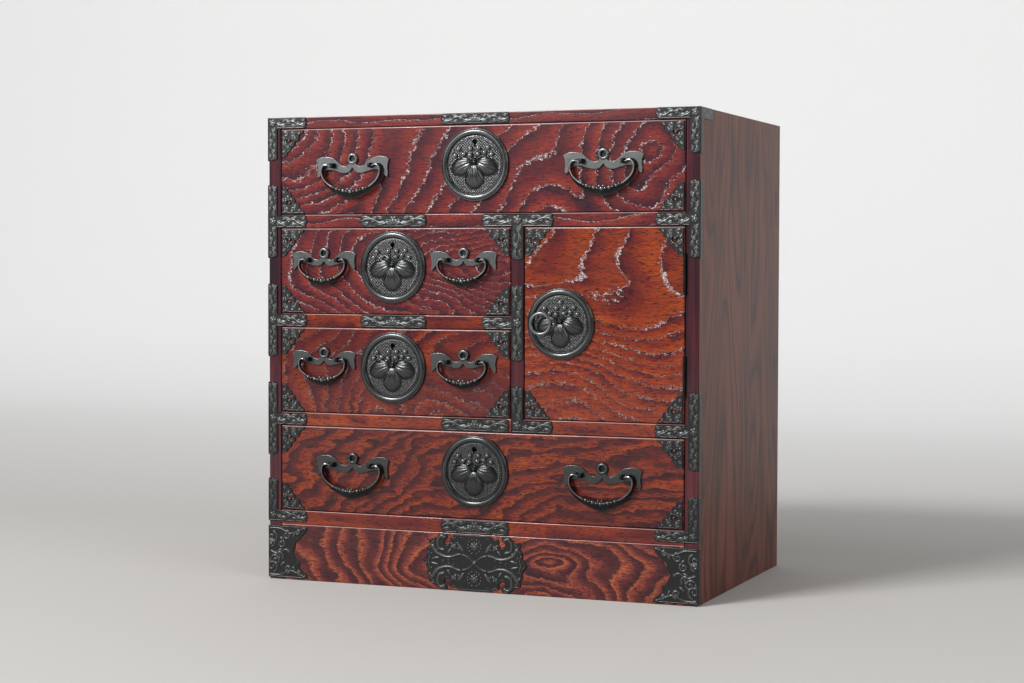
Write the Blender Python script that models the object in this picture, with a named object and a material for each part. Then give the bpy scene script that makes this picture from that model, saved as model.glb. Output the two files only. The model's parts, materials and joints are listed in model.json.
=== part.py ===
# Small tansu: a low chest with two wide drawers, two small drawers and a door,
# dressed with iron plates, drop handles and round lock plates.
# Metres, +Z up, the front faces -Y. The origin is on the ground, at the middle of the overall box.

import bpy
import bmesh
from math import cos, pi, radians, sin
from mathutils import Matrix, Vector

# Case
CASE_WIDTH = 0.680
CASE_DEPTH = 0.434
CASE_HEIGHT = 0.700
SIDE_BOARD = 0.020
TOP_BOARD = 0.017
RAIL = 0.0195  # height of a shelf, whose front edge is the rail
BOTTOM_RAIL = 0.021
DIVIDER = 0.020
BACK_PANEL = 0.006
PLINTH_HEIGHT = 0.085
PLINTH_BOARD = 0.018
SMALL_BAY_WIDTH = 0.3765  # clear width beside the divider, for the small drawers
BOARD_EDGE = 0.0006  # chamfer of the boards' edges

# Gaps
FIT = 0.0003  # between pieces that touch
REVEAL = 0.001  # round the drawer fronts and the door
OVERRUN = 0.002  # how far a cut runs past what it cuts
BITE = 0.001  # how deep a plate's shank enters its board
MERGE = 0.000001  # points closer than this are one

# Drawers
FRONT_BOARD = 0.020
FRONT_EDGE = 0.0012
DRAWER_WALL = 0.009
DRAWER_FLOOR = 0.006
DRAWER_SIDE_GAP = 0.0015
DRAWER_HEADROOM = 0.012
DRAWER_BACK_SPACE = 0.012

# Iron sheet
PLATE = 0.0015  # frame plates, straps and corner plates
PLATE_CLIP = 0.003  # clipped corners of the plates' ends
STILE_PLATE = 0.0147  # how much of a side board's edge a plate covers
SIDE_RETURN = 0.012  # how far a stile plate turns round the corner
PLATE_REACH = 0.065  # arm of a stile plate, from the case's side
TEE_LENGTH = 0.110
PLATE_MARGIN = 0.0005  # wood left above and below an arm on a rail
TOP_ARM_DEPTH = 0.057  # arm of a top corner plate, along the side
LOWER_ANGLE_LIFT = 0.004  # of the lower angle above the plinth

# Divider plates
DIVIDER_ARM = 0.0465  # how far an arm runs beside the divider
DIVIDER_STEM = 0.048  # how far a stem runs past the rail

# Straps on the rails
STRAP_LENGTH = 0.109
STRAP_GAP = 0.0025  # from the lower shelf's strap to the divider's plate

# Corner plates of the drawer fronts and the door
CORNER_WIDTH = 0.038
CORNER_HEIGHT = 0.040
CORNER_INSET = 0.0015
CORNER_SHARES = [
    (0, 0), (1, 0), (0.94, 0.12), (0.76, 0.26), (0.69, 0.38), (0.57, 0.47),
    (0.51, 0.63), (0.39, 0.71), (0.28, 0.88), (0.16, 1), (0, 0.96),
]  # outline from the corner, across and down

# Plinth plates
PLINTH_PLATE = 0.002
PLINTH_PLATE_WIDTH = 0.166
PLINTH_PLATE_MARGIN = 0.00135  # wood left above and below
PLINTH_PLATE_HEIGHT = PLINTH_HEIGHT - FIT - 2 * PLINTH_PLATE_MARGIN
PLINTH_PLATE_SHARES = [
    (0, 0.5), (0.16, 0.5), (0.19, 0.45), (0.23, 0.44), (0.25, 0.37), (0.27, 0.31),
    (0.295, 0.36), (0.265, 0.45), (0.29, 0.5), (0.33, 0.5), (0.375, 0.42), (0.43, 0.38),
    (0.445, 0.30), (0.45, 0.19), (0.47, 0.10), (0.5, 0),
]  # a quarter of the outline, of the width and the height
PLINTH_CORNER_WIDTH = 0.067
PLINTH_CORNER_MARGIN = 0.003  # wood left above and below
PLINTH_CORNER_SHARES = [
    (0, 0), (1, 0), (0.93, 0.12), (0.80, 0.20), (0.68, 0.33), (0.62, 0.50),
    (0.67, 0.68), (0.79, 0.80), (0.90, 0.88), (0.97, 1), (0, 1),
]  # outline, of the width and the height

# Lock plates
CREST_DIAMETER = 0.106
DOOR_CREST_DIAMETER = 0.102
CREST_RIM = 0.0055  # height of the round rim
CREST_FIELD = 0.0022  # height of the sunk ground
CREST_LEAF = 0.0042  # how far the leaves stand above the ground
CREST_RAISE = 0.006  # above the middle of the drawer front
DOOR_CREST_INSET = 0.0575  # from the divider to the plate's middle
CREST_SIDES = 24
RIM_SHARES = [(0.79, 0), (0.82, 0.6), (0.87, 1), (0.93, 0.95), (0.98, 0.5)]
LEAF_SHARES = [
    (0.35, -0.04, 0.29, 0.20, 22), (-0.35, -0.04, 0.29, 0.20, -22), (0, -0.27, 0.25, 0.35, 0),
]  # middle across, middle up, half width and half height of the radius, tilt in degrees

# Keyholes and lock bolts
KEYHOLE_DIAMETER = 0.007
KEYHOLE_SLOT_WIDTH = 0.0026
KEYHOLE_SLOT_DROP = 0.007
KEYHOLE_RAISE_SHARE = 0.62  # of the plate's radius
BOLT_WIDTH = 0.014
BOLT_THICKNESS = 0.006
BOLT_SET = 0.007  # from the drawer's face to the bolt
BOLT_SUNK = 0.0005
BOLT_THROW = 0.008
KEY_ROOM = 0.008  # mortise left below the bolt
POCKET_ROOM = 0.001  # round the thrown bolt in its pocket

# Handles
LARGE_HANDLE_WIDTH = 0.121
LARGE_BAIL_WIDTH = 0.102
LARGE_BAIL_DROP = 0.051
LARGE_POST_OFFSET = 0.031
LARGE_HANDLE_INSET = 0.122  # from the side of the drawer's opening to the eye
LARGE_EYE_RAISE = 0.018
SMALL_HANDLE_WIDTH = 0.107
SMALL_BAIL_WIDTH = 0.081
SMALL_BAIL_DROP = 0.040
SMALL_POST_OFFSET = 0.024
SMALL_HANDLE_INSET = 0.07425
SMALL_EYE_RAISE = 0.0265
HANDLE_PLATE = 0.003
EYE_RADIUS = 0.0095
EYE_RISE = 0.0018  # of the round eye above the plate
EYE_SHARES = [(0, 0.3), (0.4, 0.5), (0.7, 1), (1, 0)]  # of its radius and its rise
POST_DROP = 0.010  # pivot below the eye
POST_WIDTH = 0.005
POST_RADIUS = 0.0037
POST_HOLE_RADIUS = 0.0022
POST_NECK_SHARE = 0.8  # of the post's round end
PIVOT_RISE = 0.0056  # pivot in front of the plate
PIN_RADIUS = 0.0016
PIN_END = 0.001  # of the bail's pin past the post
BAIL_DEPTH = 0.0094
LEG_DEPTH_SHARE = 0.8  # the bail's depth at its top, of that at its foot
TIP_DEPTH_SHARE = 0.8
LEG_POINTS = 4  # of the shares below, over which the depth grows
HANDLE_SHARES = [
    (0, -0.05), (0.09, -0.072), (0.16, -0.06), (0.25, -0.005), (0.335, 0.02), (0.42, 0.02),
    (0.5, -0.01), (0.47, -0.06), (0.465, -0.12), (0.475, -0.225), (0.415, -0.165),
    (0.36, -0.13), (0.27, -0.135), (0.165, -0.158), (0.07, -0.165), (0.02, -0.15), (0, -0.115),
]  # right half of the plate from the eye, of its width
BAIL_SHARES = [
    (0.90, 0.025, 0.040), (0.975, -0.045, 0.043), (1, -0.17, 0.046), (0.985, -0.31, 0.050),
    (0.92, -0.47, 0.057), (0.80, -0.61, 0.072), (0.62, -0.725, 0.10), (0.40, -0.79, 0.135),
    (0.18, -0.82, 0.158), (0, -0.83, 0.17),
]  # right half of the bail: across of its half width, then down and half thickness of its drop

# Door hinges
HINGE_GAP = 0.0014
HINGE_LENGTH = 0.058
HINGE_RISE = 0.0665  # from the door's top or bottom edge to the hinge's middle
HINGE_LEAF = 0.001
HINGE_LEAF_DEPTH = 0.014
KNUCKLE_RADIUS = 0.0022
HINGE_PIN_RADIUS = 0.0009
HINGE_BORE_RADIUS = 0.0014

# Door ring
RING_DIAMETER = 0.034
RING_WIRE = 0.0030
RING_OFFSET = 0.029  # from the plate's middle
STAPLE_WIDTH = 0.003
STAPLE_RADIUS = 0.0036
STAPLE_BORE_RADIUS = 0.0022
RING_RISE = 0.0094  # pivot in front of the door's face
RING_SIDES = 20

# Places that follow
HALF_WIDTH = CASE_WIDTH / 2
INNER_HALF = HALF_WIDTH - SIDE_BOARD
ROW_HEIGHT = (CASE_HEIGHT - TOP_BOARD - PLINTH_HEIGHT - BOTTOM_RAIL - 3 * RAIL) / 4
PIVOT_PROUD = FIT + HANDLE_PLATE + PIVOT_RISE
PROUD = max(PIVOT_PROUD + BAIL_DEPTH / 2, RING_RISE + RING_WIRE / 2)
FRONT = (PROUD - CASE_DEPTH) / 2
BACK = FRONT + CASE_DEPTH
DIVIDER_LEFT = SMALL_BAY_WIDTH - INNER_HALF
DIVIDER_RIGHT = DIVIDER_LEFT + DIVIDER
PLATE_FACE = FRONT - FIT - PLATE


def material(name, colour, roughness, metallic):
    made = bpy.data.materials.new(name)
    made.use_nodes = True
    shader = made.node_tree.nodes["Principled BSDF"]
    shader.inputs["Base Color"].default_value = (*colour, 1)
    shader.inputs["Roughness"].default_value = roughness
    shader.inputs["Metallic"].default_value = metallic
    made.diffuse_color = (*colour, 1)
    return made


def box(low, high):
    """A box between two opposite corners."""
    low, high = Vector(low), Vector(high)
    shape = bmesh.new()
    bmesh.ops.create_cube(shape, size=1)
    size = Matrix.Diagonal((*(high - low), 1))
    bmesh.ops.transform(shape, matrix=Matrix.Translation((low + high) / 2) @ size, verts=shape.verts)
    return shape


def chamfered_box(low, high, edge):
    shape = box(low, high)
    bmesh.ops.bevel(shape, geom=shape.edges[:], offset=edge, segments=1, affect="EDGES")
    return shape


def extruded(points, move):
    """A flat outline of points, extruded by a move."""
    shape = bmesh.new()
    face = shape.faces.new([shape.verts.new(point) for point in points])
    made = bmesh.ops.extrude_face_region(shape, geom=[face], use_keep_orig=True)
    moved = [item for item in made["geom"] if isinstance(item, bmesh.types.BMVert)]
    bmesh.ops.translate(shape, vec=move, verts=moved)
    bmesh.ops.recalc_face_normals(shape, faces=shape.faces)
    return shape


def prism(outline, back, front):
    """An outline of (x, z) points, extruded along Y."""
    return extruded([(x, back, z) for x, z in outline], (0, front - back, 0))


def turned(profile, sides):
    """A closed shape turned about the Y axis from (radius, y) points that start and end on it."""
    shape = bmesh.new()
    points = [shape.verts.new((radius, y, 0)) for radius, y in profile]
    edges = [shape.edges.new(pair) for pair in zip(points, points[1:])]
    bmesh.ops.spin(
        shape, geom=points + edges, cent=(0, 0, 0), axis=(0, 1, 0), angle=2 * pi, steps=sides
    )
    bmesh.ops.remove_doubles(shape, verts=shape.verts, dist=MERGE)
    bmesh.ops.recalc_face_normals(shape, faces=shape.faces)
    return shape


def rod(centre, radius, length, axis, sides):
    """A cylinder along the X or Z axis."""
    shape = bmesh.new()
    bmesh.ops.create_cone(
        shape, cap_ends=True, segments=sides, radius1=radius, radius2=radius, depth=length
    )
    turn = Matrix.Rotation(pi / 2, 4, "Y") if axis == "X" else Matrix.Identity(4)
    bmesh.ops.transform(shape, matrix=Matrix.Translation(centre) @ turn, verts=shape.verts)
    return shape


def swept(path, sides):
    """A tube along (x, y, z, half thickness, half depth) points in a plane of constant y.

    A corner of its section faces along Y, so that it is as deep as its points say.
    """
    shape = bmesh.new()
    rings = []
    for index, (x, y, z, thick, deep) in enumerate(path):
        before, after = path[max(index - 1, 0)], path[min(index + 1, len(path) - 1)]
        along = Vector((after[0] - before[0], 0, after[2] - before[2])).normalized()
        across = Vector((along.z, 0, -along.x))
        ring = []
        for side in range(sides):
            turn = 2 * pi * side / sides + pi / 2
            point = Vector((x, y, z)) + across * thick * cos(turn)
            ring.append(shape.verts.new(point + Vector((0, deep * sin(turn), 0))))
        rings.append(ring)
    for near, far in zip(rings, rings[1:]):
        for side in range(sides):
            after = (side + 1) % sides
            shape.faces.new((near[side], near[after], far[after], far[side]))
    shape.faces.new(rings[0])
    shape.faces.new(rings[-1])
    bmesh.ops.recalc_face_normals(shape, faces=shape.faces)
    return shape


def helper(shape, name):
    mesh = bpy.data.meshes.new(name)
    shape.to_mesh(mesh)
    shape.free()
    made = bpy.data.objects.new(name, mesh)
    made.hide_render = True
    made.display_type = "WIRE"
    bpy.context.scene.collection.objects.link(made)
    return made


def carved(base, joined=(), cut=()):
    """One mesh: the base united with each joined shape, less each cut shape."""
    body = helper(base, "body")
    others = []
    for operation, shapes in (("UNION", joined), ("DIFFERENCE", cut)):
        for shape in shapes:
            other = helper(shape, operation.lower())
            modifier = body.modifiers.new(operation.lower(), "BOOLEAN")
            modifier.operation = operation
            modifier.object = other
            others.append(other)
    graph = bpy.context.evaluated_depsgraph_get()
    mesh = bpy.data.meshes.new_from_object(body.evaluated_get(graph))
    for each in [body, *others]:
        spare = each.data
        bpy.data.objects.remove(each)
        bpy.data.meshes.remove(spare)
    return mesh


def place(name, mesh, finish, at=(0, 0, 0), parent=None, smooth=None):
    """An object of this mesh at a world place, under its parent."""
    mesh.name = name
    if not mesh.materials:
        mesh.materials.append(finish)
    if smooth:
        mesh.shade_smooth()
        mesh.set_sharp_from_angle(angle=radians(smooth))
    made = bpy.data.objects.new(name, mesh)
    bpy.context.scene.collection.objects.link(made)
    made.parent = parent
    made.location = Vector(at) - (parent.location if parent else Vector())
    return made


def axis_empty(name, at):
    made = bpy.data.objects.new(name, None)
    made.empty_display_size = SIDE_BOARD
    made.location = at
    bpy.context.scene.collection.objects.link(made)
    return made


def moved_to(mesh, at):
    """The mesh in the coordinates of a piece that stands at this place."""
    mesh.transform(Matrix.Translation(-Vector(at)))
    return mesh


def iron_on_front(mesh, board_finish, plate_finish, face=FRONT):
    """Two finishes on a board that carries plates: iron on what stands in front of its face."""
    mesh.materials.append(board_finish)
    mesh.materials.append(plate_finish)
    for polygon in mesh.polygons:
        if polygon.center.y < face - PLATE / 4:
            polygon.material_index = 1
    return mesh


def row_floor(row):
    """Height of the floor of a row of drawers, counted from the bottom one."""
    return PLINTH_HEIGHT + BOTTOM_RAIL + row * (ROW_HEIGHT + RAIL)


def clipped_strip(left, right, bottom, top):
    """A strip's outline with clipped corners."""
    clip = min(PLATE_CLIP, (top - bottom) / 4, (right - left) / 4)
    return [
        (left + clip, bottom), (right - clip, bottom), (right, bottom + clip),
        (right, top - clip), (right - clip, top), (left + clip, top),
        (left, top - clip), (left, bottom + clip),
    ]


def strap(middle, rail_bottom, rail_height):
    """A strap on a rail, let into it."""
    outline = clipped_strip(
        middle - STRAP_LENGTH / 2, middle + STRAP_LENGTH / 2,
        rail_bottom + PLATE_MARGIN, rail_bottom + rail_height - PLATE_MARGIN,
    )
    return prism(outline, FRONT + BITE, PLATE_FACE)


def pocket(middle, opening_top):
    """The pocket in a rail's underside that takes the thrown bolt."""
    depth = BOLT_THROW - REVEAL - BOLT_SUNK + POCKET_ROOM
    half = BOLT_WIDTH / 2 + POCKET_ROOM
    near = FRONT + BOLT_SET - POCKET_ROOM
    far = FRONT + BOLT_SET + BOLT_THICKNESS + POCKET_ROOM
    return box((middle - half, near, opening_top - OVERRUN), (middle + half, far, opening_top + depth))


def rail_board(name, left, right, bottom, height, wood, iron, strap_at=None, pocket_at=None):
    """A horizontal board that runs from the front to the back panel."""
    base = chamfered_box(
        (left + FIT, FRONT, bottom), (right - FIT, BACK - BACK_PANEL - FIT, bottom + height), BOARD_EDGE
    )
    joined = [] if strap_at is None else [strap(strap_at, bottom, height)]
    cut = [] if pocket_at is None else [pocket(pocket_at, bottom)]
    return place(name, iron_on_front(carved(base, joined, cut), wood, iron), wood)


def stile_outline(side, bottom, top, arm_bottom, arm_top):
    """Outline of a tee or angle on a side board's edge: side is -1 on the left, 1 on the right."""
    edge = HALF_WIDTH + FIT + PLATE
    inner = HALF_WIDTH - STILE_PLATE
    tip = HALF_WIDTH - PLATE_REACH
    clip = min(PLATE_CLIP, (arm_top - arm_bottom) / 4)
    points = [(edge, bottom), (inner + clip, bottom), (inner, bottom + clip)]
    if arm_bottom > bottom + clip:
        points.append((inner, arm_bottom))
    else:
        points = [(edge, arm_bottom)]
    points += [(tip + clip, arm_bottom), (tip, arm_bottom + clip), (tip, arm_top - clip)]
    if arm_top < top - clip:
        points += [(tip + clip, arm_top), (inner, arm_top)]
        points += [(inner, top - clip), (inner + clip, top), (edge, top)]
    else:
        points += [(tip + clip, arm_top), (edge, arm_top)]
    return [(side * x, z) for x, z in points]


def side_sheet(side, bottom, top, arm_bottom=None):
    """The part of a stile plate that lies on the case's side, with an arm along its top if asked."""
    turn = FRONT + SIDE_RETURN
    outline = [(PLATE_FACE, bottom), (turn, bottom)]
    if arm_bottom is None:
        outline += [(turn, top)]
    else:
        tip = FRONT + TOP_ARM_DEPTH
        outline += [(turn, arm_bottom), (tip, arm_bottom), (tip, top)]
    outline += [(PLATE_FACE, top)]
    near = side * (HALF_WIDTH + FIT)
    return extruded([(near, y, z) for y, z in outline], (side * PLATE, 0, 0))


def stile_plate(side, bottom, top, arm_bottom, arm_top):
    """A tee or angle with its side return, as shapes that overlap at the corner."""
    front = prism(stile_outline(side, bottom, top, arm_bottom, arm_top), FRONT - FIT, PLATE_FACE)
    return front, side_sheet(side, bottom, top)


def arm_range(rail_bottom, rail_height):
    return rail_bottom + PLATE_MARGIN, rail_bottom + rail_height - PLATE_MARGIN


def side_board(name, side, wood, iron):
    """A side board with the lower angle and the plinth corner plate on its front edge."""
    low, high = sorted((side * INNER_HALF, side * HALF_WIDTH))
    base = chamfered_box((low, FRONT, 0), (high, BACK, CASE_HEIGHT), BOARD_EDGE)
    arm_top = arm_range(PLINTH_HEIGHT, BOTTOM_RAIL)[1]
    foot = PLINTH_HEIGHT + LOWER_ANGLE_LIFT
    angle, strip = stile_plate(side, foot, foot + PLATE_REACH, foot, arm_top)
    outer = HALF_WIDTH + FIT + PLATE
    tall = PLINTH_HEIGHT - 2 * PLINTH_CORNER_MARGIN
    corner = prism(
        [
            (side * (outer - x * PLINTH_CORNER_WIDTH), PLINTH_CORNER_MARGIN + z * tall)
            for x, z in PLINTH_CORNER_SHARES
        ],
        FRONT - FIT, PLATE_FACE,
    )
    corner_strip = side_sheet(side, PLINTH_CORNER_MARGIN, PLINTH_CORNER_MARGIN + tall)
    shanks = [
        box(
            (low + STILE_PLATE / 2, PLATE_FACE + PLATE / 2, bottom + PLATE_CLIP),
            (high - PLATE_CLIP, FRONT + BITE, top - PLATE_CLIP),
        )
        for bottom, top in (
            (PLINTH_CORNER_MARGIN, PLINTH_CORNER_MARGIN + tall), (foot, foot + PLATE_REACH)
        )
    ]
    cut = [hinge_recess(1, middle) for middle in hinge_middles()] if side > 0 else []
    mesh = carved(base, [angle, strip, corner, corner_strip, *shanks], cut)
    place(name, iron_on_front(mesh, wood, iron), wood)


def case(wood, side_wood, back_wood, iron):
    """The boards of the case. Those with a lock above a drawer have a pocket for its bolt."""
    side_board("case_left_side", -1, side_wood, iron)
    side_board("case_right_side", 1, side_wood, iron)
    small_middle = DIVIDER_LEFT - SMALL_BAY_WIDTH / 2
    top = chamfered_box(
        (-INNER_HALF + FIT, FRONT, CASE_HEIGHT - TOP_BOARD), (INNER_HALF - FIT, BACK, CASE_HEIGHT), BOARD_EDGE
    )
    top = carved(top, [strap(0, CASE_HEIGHT - TOP_BOARD, TOP_BOARD)], [pocket(0, CASE_HEIGHT - TOP_BOARD)])
    place("case_top", iron_on_front(top, side_wood, iron), wood)
    rail_board(
        "case_bottom", -INNER_HALF, INNER_HALF, PLINTH_HEIGHT, BOTTOM_RAIL, wood, iron, strap_at=0
    )
    strap_middle = DIVIDER_LEFT + PLATE_MARGIN - STRAP_GAP - STRAP_LENGTH / 2
    rail_board(
        "lower_shelf", -INNER_HALF, INNER_HALF, row_floor(1) - RAIL, RAIL, wood, iron, strap_middle, 0
    )
    rail_board(
        "middle_shelf", -INNER_HALF, DIVIDER_LEFT, row_floor(2) - RAIL, RAIL, wood, iron,
        small_middle, small_middle,
    )
    rail_board(
        "upper_shelf", -INNER_HALF, INNER_HALF, row_floor(3) - RAIL, RAIL, wood, iron,
        small_middle, small_middle,
    )
    upright = chamfered_box(
        (DIVIDER_LEFT, FRONT, row_floor(1) + FIT),
        (DIVIDER_RIGHT, BACK - BACK_PANEL - FIT, row_floor(3) - RAIL - FIT), BOARD_EDGE,
    )
    place("divider", carved(upright), wood)
    plinth = chamfered_box(
        (-INNER_HALF + FIT, FRONT, 0), (INNER_HALF - FIT, FRONT + PLINTH_BOARD, PLINTH_HEIGHT - FIT),
        FRONT_EDGE,
    )
    place("plinth_board", carved(plinth), wood)
    panel = box(
        (-INNER_HALF + FIT, BACK - BACK_PANEL, PLINTH_HEIGHT),
        (INNER_HALF - FIT, BACK, CASE_HEIGHT - TOP_BOARD - FIT),
    )
    place("case_back", carved(panel), back_wood)


def frame_plates(iron):
    """The tees and angles over the joints of the case, and the plate in the middle of the plinth."""
    arm_bottom, arm_top = arm_range(CASE_HEIGHT - TOP_BOARD, TOP_BOARD)
    for name, side in (("top_left_corner_plate", -1), ("top_right_corner_plate", 1)):
        low = CASE_HEIGHT - PLATE_REACH
        front = prism(stile_outline(side, low, CASE_HEIGHT, arm_bottom, CASE_HEIGHT), FRONT - FIT, PLATE_FACE)
        place(name, carved(front, [side_sheet(side, low, CASE_HEIGHT, arm_bottom)]), iron)
    for name, side, row in (
        ("left_upper_tee_plate", -1, 3), ("left_middle_tee_plate", -1, 2), ("left_lower_tee_plate", -1, 1),
        ("right_upper_tee_plate", 1, 3), ("right_lower_tee_plate", 1, 1),
    ):
        arm_bottom, arm_top = arm_range(row_floor(row) - RAIL, RAIL)
        middle = (arm_bottom + arm_top) / 2
        front, strip = stile_plate(
            side, middle - TEE_LENGTH / 2, middle + TEE_LENGTH / 2, arm_bottom, arm_top
        )
        place(name, carved(front, [strip]), iron)
    divider_plates(iron)
    wide, tall = PLINTH_PLATE_WIDTH, PLINTH_PLATE_HEIGHT
    quarter = [(x * wide, z * tall) for x, z in PLINTH_PLATE_SHARES]
    right = quarter + [(x, -z) for x, z in reversed(quarter[:-1])]
    outline = right + [(-x, z) for x, z in reversed(right[1:-1])]
    middle = (PLINTH_HEIGHT - FIT) / 2
    plate = prism([(x, z + middle) for x, z in outline], FRONT - FIT, FRONT - FIT - PLINTH_PLATE)
    place("plinth_centre_plate", carved(plate), iron)


def divider_plates(iron):
    """The upper tee, the middle tee to the left and the lower angle to the right."""
    left, right = DIVIDER_LEFT + PLATE_MARGIN, DIVIDER_RIGHT - PLATE_MARGIN
    clip = min(PLATE_CLIP, (right - left) / 4, RAIL / 4)
    back, face = FRONT - FIT, PLATE_FACE
    bottom, top = arm_range(row_floor(3) - RAIL, RAIL)
    tip = row_floor(3) - RAIL - DIVIDER_STEM
    outline = [
        (left, bottom), (left, tip + clip), (left + clip, tip), (right - clip, tip),
        (right, tip + clip), (right, bottom), (right + DIVIDER_ARM - clip, bottom),
        (right + DIVIDER_ARM, bottom + clip), (right + DIVIDER_ARM, top - clip),
        (right + DIVIDER_ARM - clip, top), (left - DIVIDER_ARM + clip, top),
        (left - DIVIDER_ARM, top - clip), (left - DIVIDER_ARM, bottom + clip),
        (left - DIVIDER_ARM + clip, bottom),
    ]
    place("divider_upper_tee_plate", carved(prism(outline, back, face)), iron)
    bottom, top = arm_range(row_floor(2) - RAIL, RAIL)
    low, high = (bottom + top - TEE_LENGTH) / 2, (bottom + top + TEE_LENGTH) / 2
    outline = [
        (left, bottom), (left, low + clip), (left + clip, low), (right - clip, low),
        (right, low + clip), (right, high - clip), (right - clip, high), (left + clip, high),
        (left, high - clip), (left, top), (left - DIVIDER_ARM + clip, top),
        (left - DIVIDER_ARM, top - clip), (left - DIVIDER_ARM, bottom + clip),
        (left - DIVIDER_ARM + clip, bottom),
    ]
    place("divider_middle_tee_plate", carved(prism(outline, back, face)), iron)
    bottom, top = arm_range(row_floor(1) - RAIL, RAIL)
    tip = row_floor(1) + DIVIDER_STEM
    outline = [
        (left, bottom), (right + DIVIDER_ARM - clip, bottom), (right + DIVIDER_ARM, bottom + clip),
        (right + DIVIDER_ARM, top - clip), (right + DIVIDER_ARM - clip, top), (right, top),
        (right, tip - clip), (right - clip, tip), (left + clip, tip), (left, tip - clip),
    ]
    place("divider_lower_angle_plate", carved(prism(outline, back, face)), iron)


def corner_plates(left, right, bottom, top):
    """The four corner plates of a drawer front or of the door, let into it."""
    made = []
    for edge_x, turn_x in ((left, 1), (right, -1)):
        for edge_z, turn_z in ((bottom, 1), (top, -1)):
            outline = [
                (
                    edge_x + turn_x * (CORNER_INSET + x * CORNER_WIDTH),
                    edge_z + turn_z * (CORNER_INSET + z * CORNER_HEIGHT),
                )
                for x, z in CORNER_SHARES
            ]
            made.append(prism(outline, FRONT + BITE, PLATE_FACE))
    return made


def keyhole(middle, height, back, front):
    """A round hole with a short slot under it."""
    radius, half = KEYHOLE_DIAMETER / 2, KEYHOLE_SLOT_WIDTH / 2
    start = pi / 8
    outline = [
        (middle + radius * sin(pi + start + (2 * pi - 2 * start) * step / 8),
         height + radius * cos(pi + start + (2 * pi - 2 * start) * step / 8))
        for step in range(9)
    ]
    outline += [(middle + half, height - KEYHOLE_SLOT_DROP), (middle - half, height - KEYHOLE_SLOT_DROP)]
    return prism(outline, back, front)


def crest(diameter, with_keyhole, with_staple):
    """A round plate about its own middle: half-round rim, sunk ground and three domed leaves."""
    radius = diameter / 2
    rise = CREST_RIM - CREST_FIELD
    profile = [(0, -FIT - CREST_FIELD)]
    profile += [(share * radius, -FIT - CREST_FIELD - rise * high) for share, high in RIM_SHARES]
    profile += [(radius, -FIT - CREST_FIELD / 2), (radius, -FIT), (0, -FIT)]
    leaves = []
    for across, up, wide, tall, tilt in LEAF_SHARES:
        leaf = bmesh.new()
        bmesh.ops.create_uvsphere(leaf, u_segments=8, v_segments=6, radius=1)
        size = Matrix.Diagonal((wide * radius, CREST_LEAF, tall * radius, 1))
        at = Matrix.Translation((across * radius, -FIT - CREST_FIELD, up * radius))
        turn = Matrix.Rotation(radians(tilt), 4, "Y")
        bmesh.ops.transform(leaf, matrix=at @ turn @ size, verts=leaf.verts)
        # What a leaf has behind the plate's middle is cut off, so its back stays inside the plate.
        plane = (0, -FIT - CREST_FIELD / 2, 0)
        geometry = leaf.verts[:] + leaf.edges[:] + leaf.faces[:]
        sliced = bmesh.ops.bisect_plane(
            leaf, geom=geometry, plane_co=plane, plane_no=(0, 1, 0), clear_outer=True, dist=MERGE
        )
        rim = [item for item in sliced["geom_cut"] if isinstance(item, bmesh.types.BMEdge)]
        bmesh.ops.contextual_create(leaf, geom=rim)
        bmesh.ops.recalc_face_normals(leaf, faces=leaf.faces)
        leaves.append(leaf)
    joined, cut = leaves, []
    if with_keyhole:
        cut.append(keyhole(0, KEYHOLE_RAISE_SHARE * radius, OVERRUN, -CREST_RIM - OVERRUN))
    if with_staple:
        top = RING_DIAMETER / 2 - RING_WIRE / 2
        joined.append(rod((-RING_OFFSET, -RING_RISE, top), STAPLE_RADIUS, STAPLE_WIDTH, "X", 8))
        joined.append(
            box(
                (-RING_OFFSET - STAPLE_WIDTH / 2, -RING_RISE, top - STAPLE_RADIUS / 2),
                (-RING_OFFSET + STAPLE_WIDTH / 2, -FIT - CREST_FIELD / 2, top + STAPLE_RADIUS / 2),
            )
        )
        bore = (-RING_OFFSET, -RING_RISE, top)
        cut.append(rod(bore, STAPLE_BORE_RADIUS, STAPLE_WIDTH + 2 * OVERRUN, "X", 8))
    return carved(turned(profile, CREST_SIDES), joined, cut)


def ring_mesh():
    """The door's ring, hung from its top, about the middle of its wire there."""
    radius, wire = (RING_DIAMETER - RING_WIRE) / 2, RING_WIRE / 2
    shape = bmesh.new()
    rings = []
    for step in range(RING_SIDES):
        turn = 2 * pi * step / RING_SIDES
        out = Vector((sin(turn), 0, cos(turn)))
        middle = out * radius - Vector((0, 0, radius))
        rings.append(
            [
                shape.verts.new(
                    middle + out * wire * cos(pi * side / 3) + Vector((0, wire * sin(pi * side / 3), 0))
                )
                for side in range(6)
            ]
        )
    for index, near in enumerate(rings):
        far = rings[(index + 1) % len(rings)]
        for side in range(6):
            after = (side + 1) % 6
            shape.faces.new((near[side], near[after], far[after], far[side]))
    bmesh.ops.recalc_face_normals(shape, faces=shape.faces)
    return carved(shape)


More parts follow.
